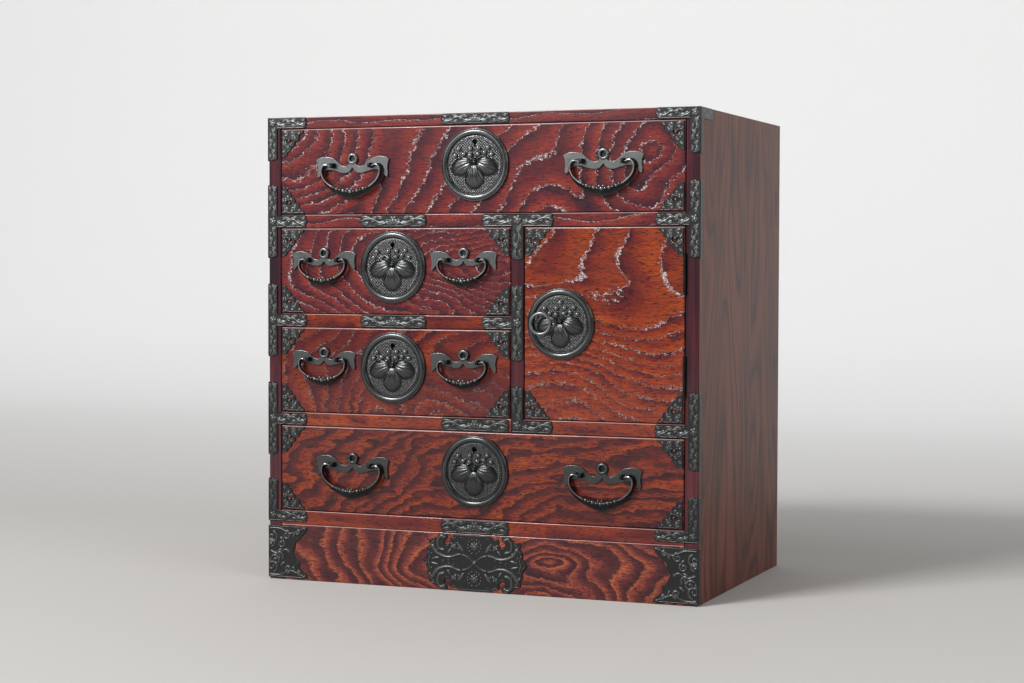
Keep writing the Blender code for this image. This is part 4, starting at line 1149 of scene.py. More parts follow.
def makeStraps():
    size, depth = strapSizes, plateSizes["endDepth"]
    for name in rails:
        across = middle("upper_small_drawer_lock_plate").x if name in ("upper_shelf", "middle_shelf") else 0
        low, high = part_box(name)
        z0, z1 = low.z + size["margin"], high.z - size["margin"]
        x0, x1 = across - size["length"] / 2, across + size["length"] / 2
        outline = plateEnd((x1 - depth, z0), (x1 - depth, z1), depth)
        outline += plateEnd((x0 + depth, z1), (x0 + depth, z0), depth)

        def pattern(relief):
            tall, level, rise = z1 - z0 - 3.6 * mm, (z0 + z1) / 2, plateSizes["rise"]
            relief.flower((across, level), tall * 0.5, 6, rise * 1.1)
            vineBand(relief, (across - tall * 0.3, level), (x0 + 3 * mm, level), tall, rise)
            vineBand(relief, (across + tall * 0.3, level), (x1 - 3 * mm, level), tall, rise, -1)

        piece(f"{name}_strap", embossed(outline, pattern), "case", iron)
        for tip in (x0 + plateSizes["nailInset"], x1 - plateSizes["nailInset"]):
            frontNail("case", tip, (z0 + z1) / 2)


makeStraps()


# Corner plates of the drawer fronts and the door

cornerSizes = {
    "width": 38 * mm,
    "height": 40 * mm,
    "inset": 1.5 * mm,
    "runs": [
        [(0, 0), (1, 0)],
        [(1, 0), (0.96, 0.09), (0.88, 0.13), (0.79, 0.21)],
        [(0.79, 0.21), (0.78, 0.31), (0.70, 0.38), (0.60, 0.40)],
        [(0.60, 0.40), (0.60, 0.50), (0.53, 0.58), (0.44, 0.60)],
        [(0.44, 0.60), (0.43, 0.70), (0.36, 0.79), (0.27, 0.81)],
        [(0.27, 0.81), (0.24, 0.92), (0.13, 0.98), (0, 1)],
        [(0, 1), (0, 0)],
    ],  # shares of the width and the height, from the corner
    "holeCentre": (0.33, 0.37),
    "holeRadius": 3.6 * mm,
    "holeWidth": 2.2 * mm,
    "holeSteps": 12,
    "curls": [
        (0.58, 0.10, 0.5, 3.0, 1), (0.80, 0.05, 0.4, 2.0, 1), (0.50, 0.26, 0.6, 2.6, 1),
        (0.36, 0.50, 1.1, 2.6, -1), (0.10, 0.52, 1.2, 3.0, -1), (0.06, 0.78, 1.3, 2.0, -1),
        (0.24, 0.06, 0.2, 3.0, 1), (0.06, 0.24, 1.4, 3.0, -1), (0.22, 0.62, 1.2, 2.4, -1),
        (0.60, 0.22, 0.2, 2.2, 1),
    ],  # place, heading, radius in millimetres, hand
    "leaves": [
        (0.40, 0.12, 0.56, 0.05), (0.10, 0.40, 0.05, 0.56), (0.14, 0.14, 0.27, 0.24),
        (0.44, 0.16, 0.52, 0.28), (0.15, 0.42, 0.27, 0.52), (0.10, 0.08, 0.24, 0.04),
    ],  # base and tip
    "nails": [(0.08, 0.06), (0.80, 0.06), (0.07, 0.82)],
}


def onBack(across, up, out):  # for plates made at the origin, their back in the plane y = 0
    return across, -out, up


def cornerMesh():  # the plate of a lower left corner, its corner at the origin
    size, rise = cornerSizes, plateSizes["rise"]
    wide, tall, steps = size["width"], size["height"], size["holeSteps"]
    at = lambda x, z: (x * wide, z * tall)
    centre = Vector(at(*size["holeCentre"]))
    outer, inner = [], []
    for k in range(steps + 1):  # the hole is a crescent
        turn = radians(-20 + 230 * k / steps)
        half = size["holeWidth"] / 2 * sin(pi * (0.06 + 0.88 * k / steps)) ** 0.6
        ray = Vector((cos(turn), sin(turn)))
        outer.append(centre + ray * (size["holeRadius"] + half))
        inner.append(centre + ray * (size["holeRadius"] - half))

    def pattern(relief):
        relief.dome(centre, 1.5 * mm, rise * 1.1)
        relief.curls(at, size["curls"], 1.1, 14, 1.5, 0.3, 1.0, rise)
        for x0, z0, x1, z1 in size["leaves"]:
            relief.leaf(at(x0, z0), at(x1, z1), 3.2 * mm, rise * 1.1, 4)

    return embossed(smoothed(scaled(size["runs"], wide, tall)), pattern, onBack, [outer + inner[::-1]],
                    border=0.8 * mm, borderWidth=0.8 * mm, cell=0.55 * mm)


def makeCornerPlates():
    plate, size = cornerMesh(), cornerSizes
    for body, board in [(drawer, drawer + "_front") for drawer in drawers] + [("door", "door_panel")]:
        low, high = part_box(board)
        for x, wayX, word in ((low.x + size["inset"], 1, "left"), (high.x - size["inset"], -1, "right")):
            for z, wayZ, level in (
                (low.z + size["inset"], 1, "lower"), (high.z - size["inset"], -1, "upper"),
            ):
                place = Matrix.Translation((x, plateBack, z)) @ Matrix.Diagonal((wayX, 1, wayZ, 1))
                piece(f"{body}_{level}_{word}_corner", movedCopy(plate, place), body, iron)
                for across, up in size["nails"]:
                    frontNail(body, x + wayX * across * size["width"], z + wayZ * up * size["height"],
                              1.0 * mm)


makeCornerPlates()
print("corner plates made")


# Plinth plates

plinthSizes = {
    "quarter": [
        [(0, 0.5), (0.15, 0.5)],
        [(0.15, 0.5), (0.185, 0.46), (0.22, 0.455), (0.235, 0.42), (0.235, 0.35), (0.262, 0.295),
         (0.29, 0.33), (0.285, 0.39), (0.262, 0.43)],
        [(0.262, 0.43), (0.265, 0.485), (0.30, 0.505), (0.335, 0.49), (0.36, 0.44)],
        [(0.36, 0.44), (0.385, 0.405), (0.425, 0.395), (0.44, 0.345), (0.43, 0.29)],
        [(0.43, 0.29), (0.455, 0.24), (0.455, 0.17), (0.465, 0.09), (0.5, 0)],
    ],  # shares of the width and the height, from the middle of the upper edge to the right-hand point
    "rise": 1.7 * mm,
    "branches": [
        ([(0.0, 0.0), (0.06, 0.10), (0.13, 0.15)], 2.0, 0.8, 0),
        ([(0.40, 0.27), (0.37, 0.17), (0.30, 0.10), (0.23, 0.09), (0.17, 0.13), (0.12, 0.15)], 5.6, 1.0, 0.7),
        ([(0.285, 0.43), (0.315, 0.46), (0.345, 0.42), (0.355, 0.33), (0.34, 0.24), (0.28, 0.20)], 5.0, 0.9,
         0.3),
        ([(0.255, 0.33), (0.27, 0.38), (0.275, 0.43)], 4.0, 0.8, 0.2),
        ([(0.43, 0.24), (0.41, 0.32), (0.38, 0.38)], 4.2, 0.8, 0.4),
        ([(0.44, 0.02), (0.43, 0.10), (0.45, 0.18)], 3.6, 0.7, 0.4),
    ],  # of a quarter, from the plate's middle: line, width in millimetres, share of the rise, taper
    "leaves": [
        ((0.10, 0.19), (0.17, 0.36), 5.6, 1.0, 4), ((0.17, 0.22), (0.235, 0.36), 4.6, 0.9, 4),
        ((0.26, 0.15), (0.22, 0.24), 4.0, 0.9, 3), ((0.34, 0.07), (0.42, 0.03), 3.2, 0.7, 3),
    ],  # base, tip, width, share of the rise, veins
    "berries": [
        (0.185, 0.30, 1.9), (0.215, 0.27, 1.7), (0.155, 0.245, 1.6), (0.235, 0.40, 1.4), (0.20, 0.43, 1.2),
        (0.465, 0.05, 1.3), (0.30, 0.015, 1.1), (0.25, 0.03, 1.0), (0.20, 0.05, 1.1), (0.36, 0.20, 1.3),
        (0.415, 0.13, 1.2),
    ],
    "nails": [(-0.47, 0), (0.47, 0), (-0.13, 0.44), (0.13, 0.44), (-0.13, -0.44), (0.13, -0.44)],
    "cornerWidth": 67 * mm,
    "cornerMargin": 3 * mm,
    "cornerRise": 1.6 * mm,
    "corner": [
        [(0, 0), (1, 0)],
        [(1, 0), (0.97, 0.08), (0.86, 0.15), (0.78, 0.22)],
        [(0.78, 0.22), (0.80, 0.30), (0.70, 0.36), (0.62, 0.50)],
        [(0.62, 0.50), (0.68, 0.60), (0.70, 0.70), (0.80, 0.76)],
        [(0.80, 0.76), (0.86, 0.82), (0.95, 0.90), (0.99, 1)],
        [(0.99, 1), (0, 1)],
        [(0, 1), (0, 0)],
    ],  # shares of the width and the height, from the lower outer corner
    "cornerCurls": [
        (0.14, 0.10, 0.3, 9, 1), (0.50, 0.09, 0.2, 6, 1), (0.78, 0.06, 0.3, 3.6, 1), (0.10, 0.40, 0.8, 8, -1),
        (0.36, 0.36, 0.9, 7, 1), (0.14, 0.88, -0.3, 9, -1), (0.48, 0.90, -0.2, 6.5, -1),
        (0.76, 0.93, -0.3, 3.6, -1), (0.40, 0.70, -0.9, 6, -1), (0.10, 0.60, 0.2, 6, 1),
    ],  # place, heading, radius in millimetres, hand
    "cornerBranches": [
        ([(0.05, 0.05), (0.3, 0.05), (0.55, 0.14), (0.72, 0.10), (0.92, 0.03)], 2.6),
        ([(0.05, 0.95), (0.3, 0.95), (0.55, 0.86), (0.72, 0.90), (0.92, 0.97)], 2.6),
        ([(0.08, 0.50), (0.25, 0.46), (0.42, 0.54), (0.56, 0.50)], 3.0),
    ],
    "cornerLeaves": [
        (0.30, 0.22, 0.42, 0.30), (0.62, 0.22, 0.70, 0.12), (0.05, 0.25, 0.06, 0.38),
        (0.48, 0.50, 0.57, 0.50), (0.30, 0.78, 0.42, 0.70), (0.62, 0.78, 0.70, 0.90),
        (0.05, 0.75, 0.06, 0.60), (0.88, 0.04, 0.96, 0.02), (0.88, 0.95, 0.96, 0.98),
        (0.22, 0.50, 0.34, 0.54),
    ],  # base and tip
    "cornerNails": [(0.06, 0.06), (0.92, 0.05), (0.94, 0.95), (0.06, 0.94), (0.55, 0.5)],
}


def makePlinthCentre():
    size = plinthSizes
    low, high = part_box("plinth_centre_plate")
    centre, wide, tall, rise = (low + high) / 2, high.x - low.x, high.z - low.z, size["rise"]
    half = scaled(size["quarter"], wide, tall)
    lower = [[(x, -z) for x, z in reversed(run)] for run in reversed(half)]
    right = smoothed(half + lower)
    left = [Vector((-point.x, -point.y)) for point in right]
    outline = [Vector((point.x + centre.x, point.y + centre.z)) for point in reversed(right + left)]

    def pattern(relief):
        for wayX, wayZ in ((-1, -1), (-1, 1), (1, -1), (1, 1)):
            at = lambda x, z: (centre.x + wayX * x * wide, centre.z + wayZ * z * tall)
            for points, width, high, taper in size["branches"]:
                relief.vine(smoothed([[at(*point) for point in points]]), width * mm, rise * high, taper)
            for base, tip, width, high, veins in size["leaves"]:
                relief.leaf(at(*base), at(*tip), width * mm, rise * high, veins)
            for x, z, radius in size["berries"]:
                relief.dome(at(x, z), radius * mm, rise)
            for turn in (0.2, 0.7, 1.2, -0.2, -0.7, -1.2):  # a ring of dots round each flower
                relief.dome(at(0.062 * cos(turn), 0.29 + 0.13 * sin(turn)), 1.3 * mm, rise * 0.8)
        for level in (-0.29, 0.29):
            relief.flower((centre.x, centre.z + level * tall), 7.6 * mm, 8, rise * 0.9)
        relief.flower((centre.x, centre.z), 4.0 * mm, 8, rise * 0.8)

    mesh = embossed(outline, pattern, thick=1.35 * mm, rise=1.2 * mm)
    piece("plinth_centre_relief", mesh, "case", iron, ["plinth_centre_plate"])
    for x, z in size["nails"]:
        frontNail("case", centre.x + x * wide, centre.z + z * tall)


def makePlinthCorners():
    size, rise = plinthSizes, plinthSizes["cornerRise"]
    low, high = size["cornerMargin"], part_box("plinth_board")[1].z - size["cornerMargin"]
    wide, tall, outer = size["cornerWidth"], high - low, stileSizes["outer"]

    def pattern(relief):
        at = lambda x, z: (x * wide, z * tall + low)
        relief.curls(at, size["cornerCurls"], 1.25, 24, 3.8, 0.5, 1.6, rise)
        for points, width in size["cornerBranches"]:
            relief.vine(smoothed([[at(*point) for point in points]]), width * mm, rise, 0.3)
        for x0, z0, x1, z1 in size["cornerLeaves"]:
            relief.leaf(at(x0, z0), at(x1, z1), 4 * mm, rise)

    mesh = embossed(smoothed(scaled(size["corner"], wide, tall, low)), pattern, rise=1.1 * mm)
    for side, word in ((-1, "left"), (1, "right")):
        place = Matrix.Translation((side * outer, 0, 0)) @ Matrix.Diagonal((-side, 1, 1, 1))
        piece(f"{word}_plinth_corner", movedCopy(mesh, place), "case", iron)
        sideReturn(f"{word}_plinth_return", side, low, high)
        for x, z in size["cornerNails"]:
            frontNail("case", side * (outer - x * wide), low + z * tall)


makePlinthCentre()
makePlinthCorners()
print("plinth plates made")


# Round plates with three leaves and berries

crestSizes = {
    "rim": [
        (0.785, 0.0), (0.785, 2.0), (0.80, 1.7), (0.815, 1.9), (0.825, 3.4), (0.845, 4.5), (0.875, 5.25),
        (0.905, 5.5), (0.935, 5.25), (0.958, 4.5), (0.968, 3.8), (0.976, 3.9), (0.986, 3.8), (0.996, 3.0),
        (1.0, 2.0), (1.0, 0.0),
    ],  # share of the radius, and height in millimetres
    "rimSides": 96,
    "face": 0.79,  # radius of the embossed middle, as a share
    "faceSides": 120,
    "ground": 2.0 * mm,
    "leafRise": 5.0 * mm,
    "berries": [
        (-0.47, 0.43), (-0.57, 0.26), (-0.32, 0.29), (-0.12, 0.44), (0.13, 0.45), (-0.13, 0.26), (0.11, 0.29),
        (0.40, 0.46), (0.30, 0.33), (0.51, 0.28),
    ],  # shares of the radius
    "berry": 0.066,  # share of the radius
    "berryLift": 1.7 * mm,  # of a berry's middle above the ground
    "beads": 76,
    "beadRing": 0.745,
    "beadSize": (1.5 * mm, 1.1 * mm, 0.8 * mm),
    "relief": {"borderRise": 0, "lip": 0.1 * mm, "border": -1 * mm, "grain": 0.02 * mm, "rise": 3.4 * mm,
               "cell": 0.55 * mm, "wearAndShine": 0.27},
}


def crestMesh(radius, withKeyhole):  # about its own middle, its back in the plane y = 0
    size = crestSizes
    rim = lathe([(share * radius, high * mm) for share, high in size["rim"]], size["rimSides"], (0, 0, 0))

    # painted highlight: light bands on the rim's crown and its outer bead; the rest is dark
    def rimHighlight(spot):
        gap = np.hypot(spot.x, spot.z) / radius
        return 0.36 if gap > 0.97 else 0.34 if 0.835 < gap < 0.955 else 0.02

    setWearAndHighlight(rim, rimHighlight)
    turns = [2 * pi * k / size["faceSides"] for k in range(size["faceSides"])]
    ring = [(size["face"] * radius * cos(turn), size["face"] * radius * sin(turn)) for turn in turns]
    holes = [keyhole(0, boardSizes["keyRaise"] * radius)] if withKeyhole else []

    def pattern(relief):
        at = lambda x, z: (x * radius, z * radius)
        rise = size["leafRise"]
        for x, z in size["berries"]:
            relief.vine([at(x, z), at(x * 0.55, z * 0.55 + 0.08), at(0, 0.12)], 0.9 * mm, 0.9 * mm, 0.2)
        for side in (-1, 1):
            base, tip = at(0.05 * side, 0.08), at(0.69 * side, -0.17)
            relief.leaf(base, tip, 0.52 * radius, rise, 13, 0.13, 1.1, 0.5, 0.7)
        relief.leaf(at(0, 0.03), at(0, -0.68), 0.60 * radius, rise * 1.2, 13, 0.13, 1.2, 0.5, 0.7)
        relief.dome(at(0, 0.07), 0.065 * radius, rise * 1.1)

    face = embossed(ring, pattern, onBack, holes, thick=size["ground"], **size["relief"])
    return joined([rim, face])


def makeCrests():
    size = crestSizes
    cache = {}
    plates = [(drawer, drawer + "_lock_plate") for drawer in drawers] + [("door", "door_round_plate")]
    for body, plate in plates:
        low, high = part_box(plate)
        centre, radius, key = (low + high) / 2, (high.x - low.x) / 2, body != "door"
        if key not in cache:
            cache[key] = crestMesh(radius, key)
        mesh = movedCopy(cache[key], Matrix.Translation((centre.x, plateBack, centre.z)))
        piece(f"{plate}_relief", softened(mesh, 55), body, crestIron, [plate])
        ground, ball = plateBack - size["ground"], size["berry"] * radius
        for x, z in size["berries"] + ([] if key else [(0, 0.60)]):
            spot = (centre.x + x * radius, ground - size["berryLift"], centre.z + z * radius)
            addStud(body, spot, (ball,) * 3, kind="berries")
        for k in range(size["beads"]):
            turn, reach = 2 * pi * k / size["beads"], size["beadRing"] * radius
            spot = (centre.x + reach * cos(turn), ground, centre.z + reach * sin(turn))
            addStud(body, spot, size["beadSize"], (0, -turn, 0), "beads")


makeCrests()
print("crests made")


# Handles

handleSizes = {
    "thick": 2.8 * mm,
    "bevel": 0.5 * mm,
    "eye": 9.5 * mm,  # below the top of the plate
    "eyeRadius": 8.8 * mm,
    "eyeProfile": [
        (0, -2.5), (0.40, -2.4), (0.46, 0.2), (0.52, 1.2), (0.63, 1.7), (0.76, 1.6), (0.9, 0.9), (1, -0.4),
        (1, -2.8), (0, -2.8),
    ],  # share of the radius, and height in millimetres above the plate's face
    "post": 3.6 * mm,
    "postWidth": 5 * mm,
    "runs": [
        [(0, -0.03), (0.036, -0.046), (0.062, -0.076), (0.105, -0.090), (0.160, -0.073), (0.213, -0.030),
         (0.262, 0.004), (0.325, 0.024), (0.395, 0.028), (0.450, 0.018), (0.5, -0.008)],
        [(0.5, -0.008), (0.482, -0.06), (0.476, -0.13), (0.484, -0.18), (0.476, -0.230)],
        [(0.476, -0.230), (0.440, -0.206), (0.408, -0.168), (0.370, -0.140), (0.300, -0.132), (0.22, -0.150),
         (0.14, -0.172), (0.075, -0.172), (0.036, -0.150), (0, -0.108)],
    ],  # right half of the outline, shares of the width, from the eye
    "nails": [(0.43, -0.05), (0.30, -0.045)],
    "nail": (0.9 * mm, 0.45 * mm, 0.9 * mm),
    "wide": 115 * mm,  # plates above this width have their posts further out
    "posts": (0.224, 0.256),  # from the eye, as a share of the width
    "largeBail": 80 * mm,
    "bail": [
        (0.90, 0.025, 0.040), (0.975, -0.045, 0.043), (1, -0.17, 0.046), (0.98, -0.30, 0.050),
        (0.91, -0.44, 0.057), (0.79, -0.565, 0.068), (0.62, -0.685, 0.080), (0.40, -0.775, 0.100),
        (0.18, -0.842, 0.122), (0, -0.868, 0.132),
    ],  # right half: across of the half width, then down and half thickness of the drop
    "bailDepth": 3.1 * mm,  # half of it
    "ridge": 2.7 * mm,  # width of the bright ridge on its inner edge
    "beadFront": 4.65 * mm,
    "largeBeads": [(0, 3.0), (5.9, 1.6), (11.6, 2.7), (17.2, 1.5), (22.6, 2.4), (27.4, 1.3)],
    "smallBeads": [(0, 2.6), (4.9, 1.9), (9.5, 2.3), (13.9, 1.7), (18.1, 2.0), (21.9, 1.3)],
    # distance along the ridge from its middle, and radius, in millimetres
    "largeTop": (3.7, 1.8, (-3.0, 3.0)),
    "smallTop": (5.4, 3.2, (0,)),
    # balls over the middle bead: lift, radius and places to the side, in millimetres
}


def handlePlateMesh(width):  # about its eye, its back in the plane y = 0
    size = handleSizes
    runs = scaled(size["runs"], width, width)
    right = smoothed(runs)
    outline = right + [runs[-1][-1]] + [Vector((-point.x, point.y)) for point in reversed(right[1:])]
    shape = slabShape(outline, -size["thick"], 0)
    bmesh.ops.recalc_face_normals(shape, faces=shape.faces)
    edges = [edge for edge in shape.edges if all(abs(v.co.y + size["thick"]) < 1e-7 for v in edge.verts)]
    bevelled(shape, edges, size["bevel"], 3)
    plate = meshOf(shape, 30)
    face, edge = 0.02 * mm - size["thick"], size["bevel"] - size["thick"]
    # painted light: a highlight on the bevelled front edge, the face mid, the sides and back dark
    setWearAndHighlight(plate, lambda spot: 0.48 if spot.y < face else 0.9 if spot.y < edge else 0.2)
    profile = [(share * size["eyeRadius"], size["thick"] + high * mm) for share, high in size["eyeProfile"]]
    eye = lathe(profile, 40, (0, 0, 0), 60)
    # painted light: the eye's raised ring light, its hollow dark as painted shade
    setWearAndHighlight(eye, lambda spot: 0.6 if spot.y < -size["thick"] - 0.5 * mm else 0.1)
    return joined([plate, eye])


def postMesh(across, pivot):  # a rounded loop that holds one end of the bail
    size = handleSizes
    half = Vector((size["postWidth"] / 2, 0, size["post"]))
    low = Vector((across, pivot.y - size["post"], pivot.z)) - half
    shape = boxShape(low, Vector((across, plateBack, pivot.z)) + half)
    outer = [edge for edge in shape.edges if all(v.co.y < pivot.y for v in edge.verts)]
    bevelled(shape, outer, size["post"] * 0.62, 5)
    return meshOf(shape, 50)


def bailSection(thick, deep, bright):  # cut across: across, forward and how light it is painted, a painted highlight on the ridge and painted shade on the flank; then the ridge's middle
    band = min(handleSizes["ridge"], thick * 1.3)
    slide = 0.25 * max(0.0, thick - band)  # the ridge leaves the inner edge where the bail is thick
    flank = 0.45 * (band - thick + slide) + 0.55 * thick
    root = slide - thick
    return [
        (-thick, deep, 0.0), (-thick, -deep * 0.5, 0.1), (root + band * 0.15, -deep * 0.86, 0.8 * bright),
        (root + band * 0.45, -deep, bright), (root + band * 0.72, -deep * 0.9, 0.8 * bright),
        (root + band, -deep * 0.5, 0.0), (flank, deep * 0.2, 0.0), (thick, deep * 0.8, 0.1),
        (thick, deep, 0.0),
    ], root + band * 0.5


def bailPath(half, drop, postOffset):  # from post to post; z holds half the bail's thickness
    size = handleSizes
    line = [Vector((across * half, down * drop, thick * drop)) for across, down, thick in size["bail"]]
    tip = Vector((postOffset + size["postWidth"] / 2 + 0.6 * mm, 0, 0.034 * drop))
    run = [tip, Vector(((tip.x + line[0].x) / 2, 0.035 * drop, 0.038 * drop)), *line]
    whole = run + [Vector((-p.x, p.y, p.z)) for p in reversed(run[:-1])]
    return curveThrough(whole, 5) + [whole[-1]]


def bailMesh(width, drop, postOffset):  # about the middle of its pivot line, with the line of its ridge
    half = width / 2 - handleSizes["bail"][0][2] * drop
    path = bailPath(half, drop, postOffset)
    shape = bmesh.new()
    wearAndShine = shape.verts.layers.float.new("raised")
    rings, ridge = [], []
    for index, spot in enumerate(path):
        before, after = path[max(index - 1, 0)], path[min(index + 1, len(path) - 1)]
        along = Vector((after.x - before.x, after.y - before.y)).normalized()
        out = Vector((along.y, -along.x))  # away from the middle of the loop
        if out.dot(Vector((spot.x, spot.y + 0.4 * drop))) < 0:
            out = -out
        ends = min(index, len(path) - 1 - index) / 10
        deep = handleSizes["bailDepth"] * (0.42 + 0.58 * min(1, ends) ** 0.7)
        # painted highlight on the ridge of the arms; dim in the middle, where the beads take over
        bright = 1.0 if abs(spot.x) > 0.62 * half else 0.15  # the beads take over in the middle
        section, centre = bailSection(spot.z, deep, bright)
        corners = []
        for n, y, wornAndLit in section:
            corner = shape.verts.new((spot.x + out.x * n, y, spot.y + out.y * n))
            corner[wearAndShine] = wornAndLit
            corners.append(corner)
        rings.append(corners)
        ridge.append((spot.x + out.x * centre, spot.y + out.y * centre))
    for near, far in zip(rings, rings[1:]):
        for k in range(len(near)):
            after = (k + 1) % len(near)
            shape.faces.new((near[k], near[after], far[after], far[k]))
    shape.faces.new(rings[0])
    shape.faces.new(rings[-1])
    return meshOf(shape, 32), ridge


def makeHandles():
    size = handleSizes
    cache = {}
    for drawer, word in [(drawer, word) for drawer in drawers for word in ("left", "right")]:
        plate, bail = f"{drawer}_{word}_handle_plate", f"{drawer}_{word}_bail"
        (low, high), (bailLow, bailHigh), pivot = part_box(plate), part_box(bail), pivots[bail]
        eye, width = Vector(((low.x + high.x) / 2, plateBack, high.z - size["eye"])), high.x - low.x
        if width not in cache:
            cache[width] = handlePlateMesh(width)
        offset = width * size["posts"][width > size["wide"]]
        parts = [movedCopy(cache[width], Matrix.Translation(eye))]
        parts += [postMesh(pivot.x + side * offset, pivot) for side in (-1, 1)]
        piece(plate + "_forged", joined(parts), drawer, smoothIron, [plate])
        for x, z in size["nails"]:
            for side in (-1, 1):
                spot = (eye.x + side * x * width, plateBack - size["thick"], eye.z + z * width)
                addStud(drawer, spot, size["nail"])
        makeBail(bail, pivot, bailHigh.x - bailLow.x, pivot.z - bailLow.z, offset)


def makeBail(name, pivot, width, drop, postOffset):
    size = handleSizes
    mesh, ridge = bailMesh(width, drop, postOffset)
    mesh.transform(Matrix.Translation(pivot))
    piece(name + "_forged", mesh, name, bailIron, [name])
    large = width > size["largeBail"]
    half = ridge[len(ridge) // 2:]
    travelled = [0.0]
    for (x0, z0), (x1, z1) in zip(half, half[1:]):
        travelled.append(travelled[-1] + np.hypot(x1 - x0, z1 - z0))
    for count, (far, radius) in enumerate(size["largeBeads"] if large else size["smallBeads"]):
        x, z = [float(np.interp(far * mm, travelled, values)) for values in zip(*half)]
        for side in (-1, 1) if far else (1,):
            spot = (pivot.x + side * abs(x), pivot.y - size["beadFront"] + radius * mm, pivot.z + z)
            addStud(name, spot, (radius * mm,) * 3, kind="berries" if count % 2 == 0 else "beads")
    lift, ball, places = size["largeTop"] if large else size["smallTop"]
    for x in places:
        spot = (pivot.x + x * mm, pivot.y - size["beadFront"] + ball * mm, pivot.z + half[0][1] + lift * mm)
        addStud(name, spot, (ball * mm,) * 3, kind="beads")


makeHandles()
print("handles made")


# Door ring

ringSizes = {
    "sides": 72,
    "wire": 2.1 * mm,  # half its width
    "halfDepth": 1.25 * mm,
    "wireSides": 14,
    "beads": 9,
    "beadArc": 2.4,  # in radians, round the lowest point
    "bead": (2.3 * mm, 1.3 * mm),  # along the ring and forward
    "beadNarrow": 0.62,  # across the ring, as a share of along it
    "beadTaper": 0.24,  # twice the share that the outermost beads lose
}


def makeRing():
    size = ringSizes
    low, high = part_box("door_ring")
    centre, radius = (low + high) / 2, (high.x - low.x) / 2 - size["wire"]
    turns = [2 * pi * k / size["wireSides"] for k in range(size["wireSides"])]
    profile = [(radius + size["wire"] * cos(turn), size["halfDepth"] * sin(turn)) for turn in turns]
    mesh = lathe(profile, size["sides"], centre, 80)
    setWearAndHighlight(mesh, lambda spot: 0.5)
    piece("door_ring_forged", mesh, "door_ring", bailIron, ["door_ring"])
    for k in range(size["beads"]):
        share = k / (size["beads"] - 1) - 0.5
        turn, ball = share * size["beadArc"] - pi / 2, size["bead"][0] * (1 - size["beadTaper"] * abs(share))
        spot = (centre.x + radius * cos(turn), centre.y, centre.z + radius * sin(turn))
        beadSize = (ball, size["bead"][1], ball * size["beadNarrow"])
        addStud("door_ring", spot, beadSize, (0, pi / 2 - turn, 0), "beads")


makeRing()

tree = studTree()
for (body, kind), rows in studs.items():
    # segments, rings, and how light each kind is painted: wear, and a painted highlight that lets berries and
    # beads read as lit balls
    fine = {"nails": (10, 6, 0.6), "berries": (20, 12, 0.72), "beads": (14, 8, 0.75)}[kind]
    makeStuds(tree, body, kind, rows, iron if kind == "nails" else crestIron, *fine)
print("studs made", sum(len(rows) for rows in studs.values()))


# Stage, light and camera

stageSizes = {
    "lens": 72.0,  # on a 36 mm sensor
    "eye": (1.1728, -2.9548, 0.4780),
    "yaw": 22.104,
    "pitch": -2.126,
    "roll": 0.134,
    "wall": 4.2,  # from the origin to the backdrop
    "bend": 1.4,
    "bendSteps": 16,
    "reach": 14.0,
    "floorTone": (0.55, 0.535, 0.515),
    "wallTone": (0.74, 0.74, 0.74),
    "wallGlow": 0.26,  # of the backdrop as it is seen or mirrored; it lights nothing
    "skyGlow": 0.26,
    "lamps": {
        "keyLight": ((-2.7, -4.9, 4.55), 0.35, 375, 2.0, 1.5),
        "fillLight": ((2.8, -1.4, 1.9), 0.35, 18, 2.0, 1.6),
        "topLight": ((0.2, -1.2, 3.2), 0.3, 10, 2.4, 1.0),
        "panelLight": ((-2.5, -4.2, 1.95), 0.6, 62, 3.0, 1.7),
    },  # place, height that it looks at, power, width and height
}


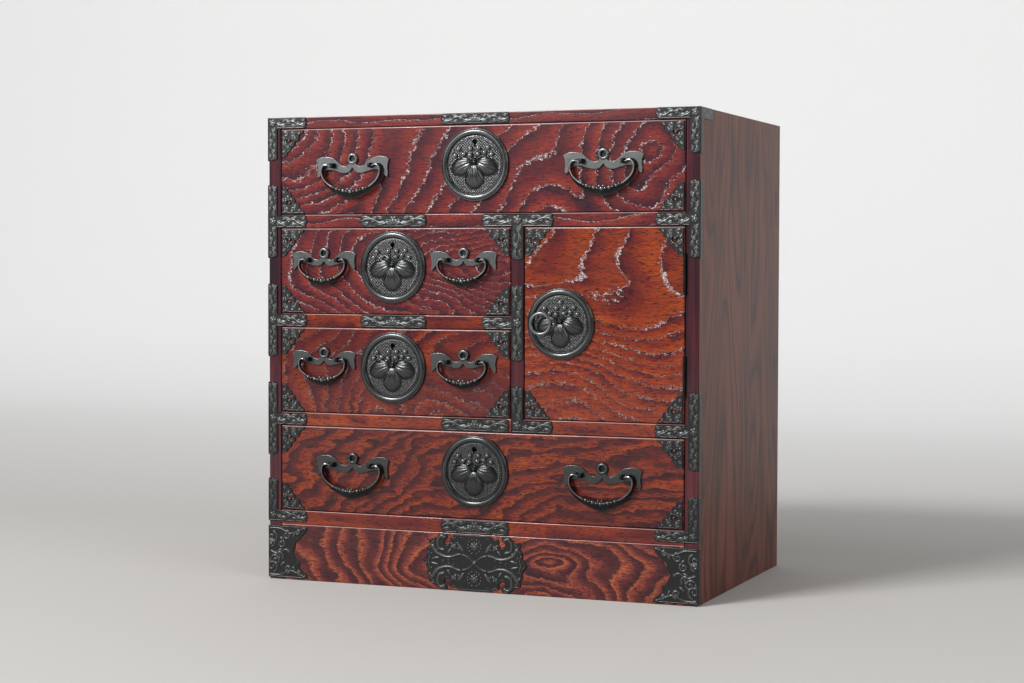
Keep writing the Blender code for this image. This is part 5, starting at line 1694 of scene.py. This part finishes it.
def makeStage():  # a floor that turns up into a backdrop, growing paler towards it
    size = stageSizes
    finish, tree, shader = newShader("paleStage")
    share = mapped(tree, axis(tree, "Object", "Y"), 0.0, 1.0, 0.4, 3.6)
    path = node(tree, "LightPath").outputs
    seen = calc(tree, "ADD", path["Is Camera Ray"], path["Is Glossy Ray"])
    seen = calc(tree, "ADD", seen, path["Is Transmission Ray"])
    fill(tree, shader, {
        "Base Color": mix(tree, share, size["floorTone"], size["wallTone"]), "Emission Color": solid(1.0),
        "Emission Strength": calc(tree, "MULTIPLY", calc(tree, "MULTIPLY", share, size["wallGlow"]), seen),
        "Roughness": 0.8,
    })
    reach, bend, wall = size["reach"], size["bend"], size["wall"]
    turns = [pi / 2 * k / size["bendSteps"] for k in range(size["bendSteps"] + 1)]
    curve = [(wall - bend + bend * sin(turn), bend - bend * cos(turn)) for turn in turns]
    curve = [(-reach, 0.0), *curve, (wall, reach)]
    spots = [(x, y, z) for y, z in curve for x in (-reach, reach)]
    faces = [(2 * k, 2 * k + 1, 2 * k + 3, 2 * k + 2) for k in range(len(curve) - 1)]
    mesh = bpy.data.meshes.new("backdrop")
    mesh.from_pydata(spots, [], faces)
    mesh.shade_smooth()
    mesh.materials.append(finish)
    linked("backdrop", mesh)


def makeLights():
    for name, (spot, level, power, width, height) in stageSizes["lamps"].items():
        data = bpy.data.lights.new(name, "AREA")
        data.shape, data.size, data.size_y, data.energy = "RECTANGLE", width, height, power
        lamp = linked(name, data)
        lamp.location = spot
        lamp.rotation_euler = (Vector((0, 0, level)) - Vector(spot)).to_track_quat("-Z", "Y").to_euler()
    world = bpy.data.worlds.new("studio")
    world.use_nodes = True
    inputs = world.node_tree.nodes["Background"].inputs
    inputs["Color"].default_value, inputs["Strength"].default_value = solid(1.0), stageSizes["skyGlow"]
    bpy.context.scene.world = world


def makeCamera():
    size = stageSizes
    yaw, pitch, roll = (radians(size[key]) for key in ("yaw", "pitch", "roll"))
    look = Vector((-sin(yaw) * cos(pitch), cos(yaw) * cos(pitch), sin(pitch)))
    right = Vector((cos(yaw), sin(yaw), 0))
    up = right.cross(look)
    right, up = right * cos(roll) + up * sin(roll), -right * sin(roll) + up * cos(roll)
    data = bpy.data.cameras.new("camera")
    data.lens, data.sensor_width = size["lens"], 36.0
    camera = linked("camera", data)
    camera.matrix_world = Matrix.Translation(size["eye"]) @ Matrix((right, up, -look)).transposed().to_4x4()
    bpy.context.scene.camera = camera


makeStage()
makeLights()
makeCamera()
bpy.context.scene.view_settings.view_transform = "Standard"
print("stage made")

bpy.context.view_layer.update()
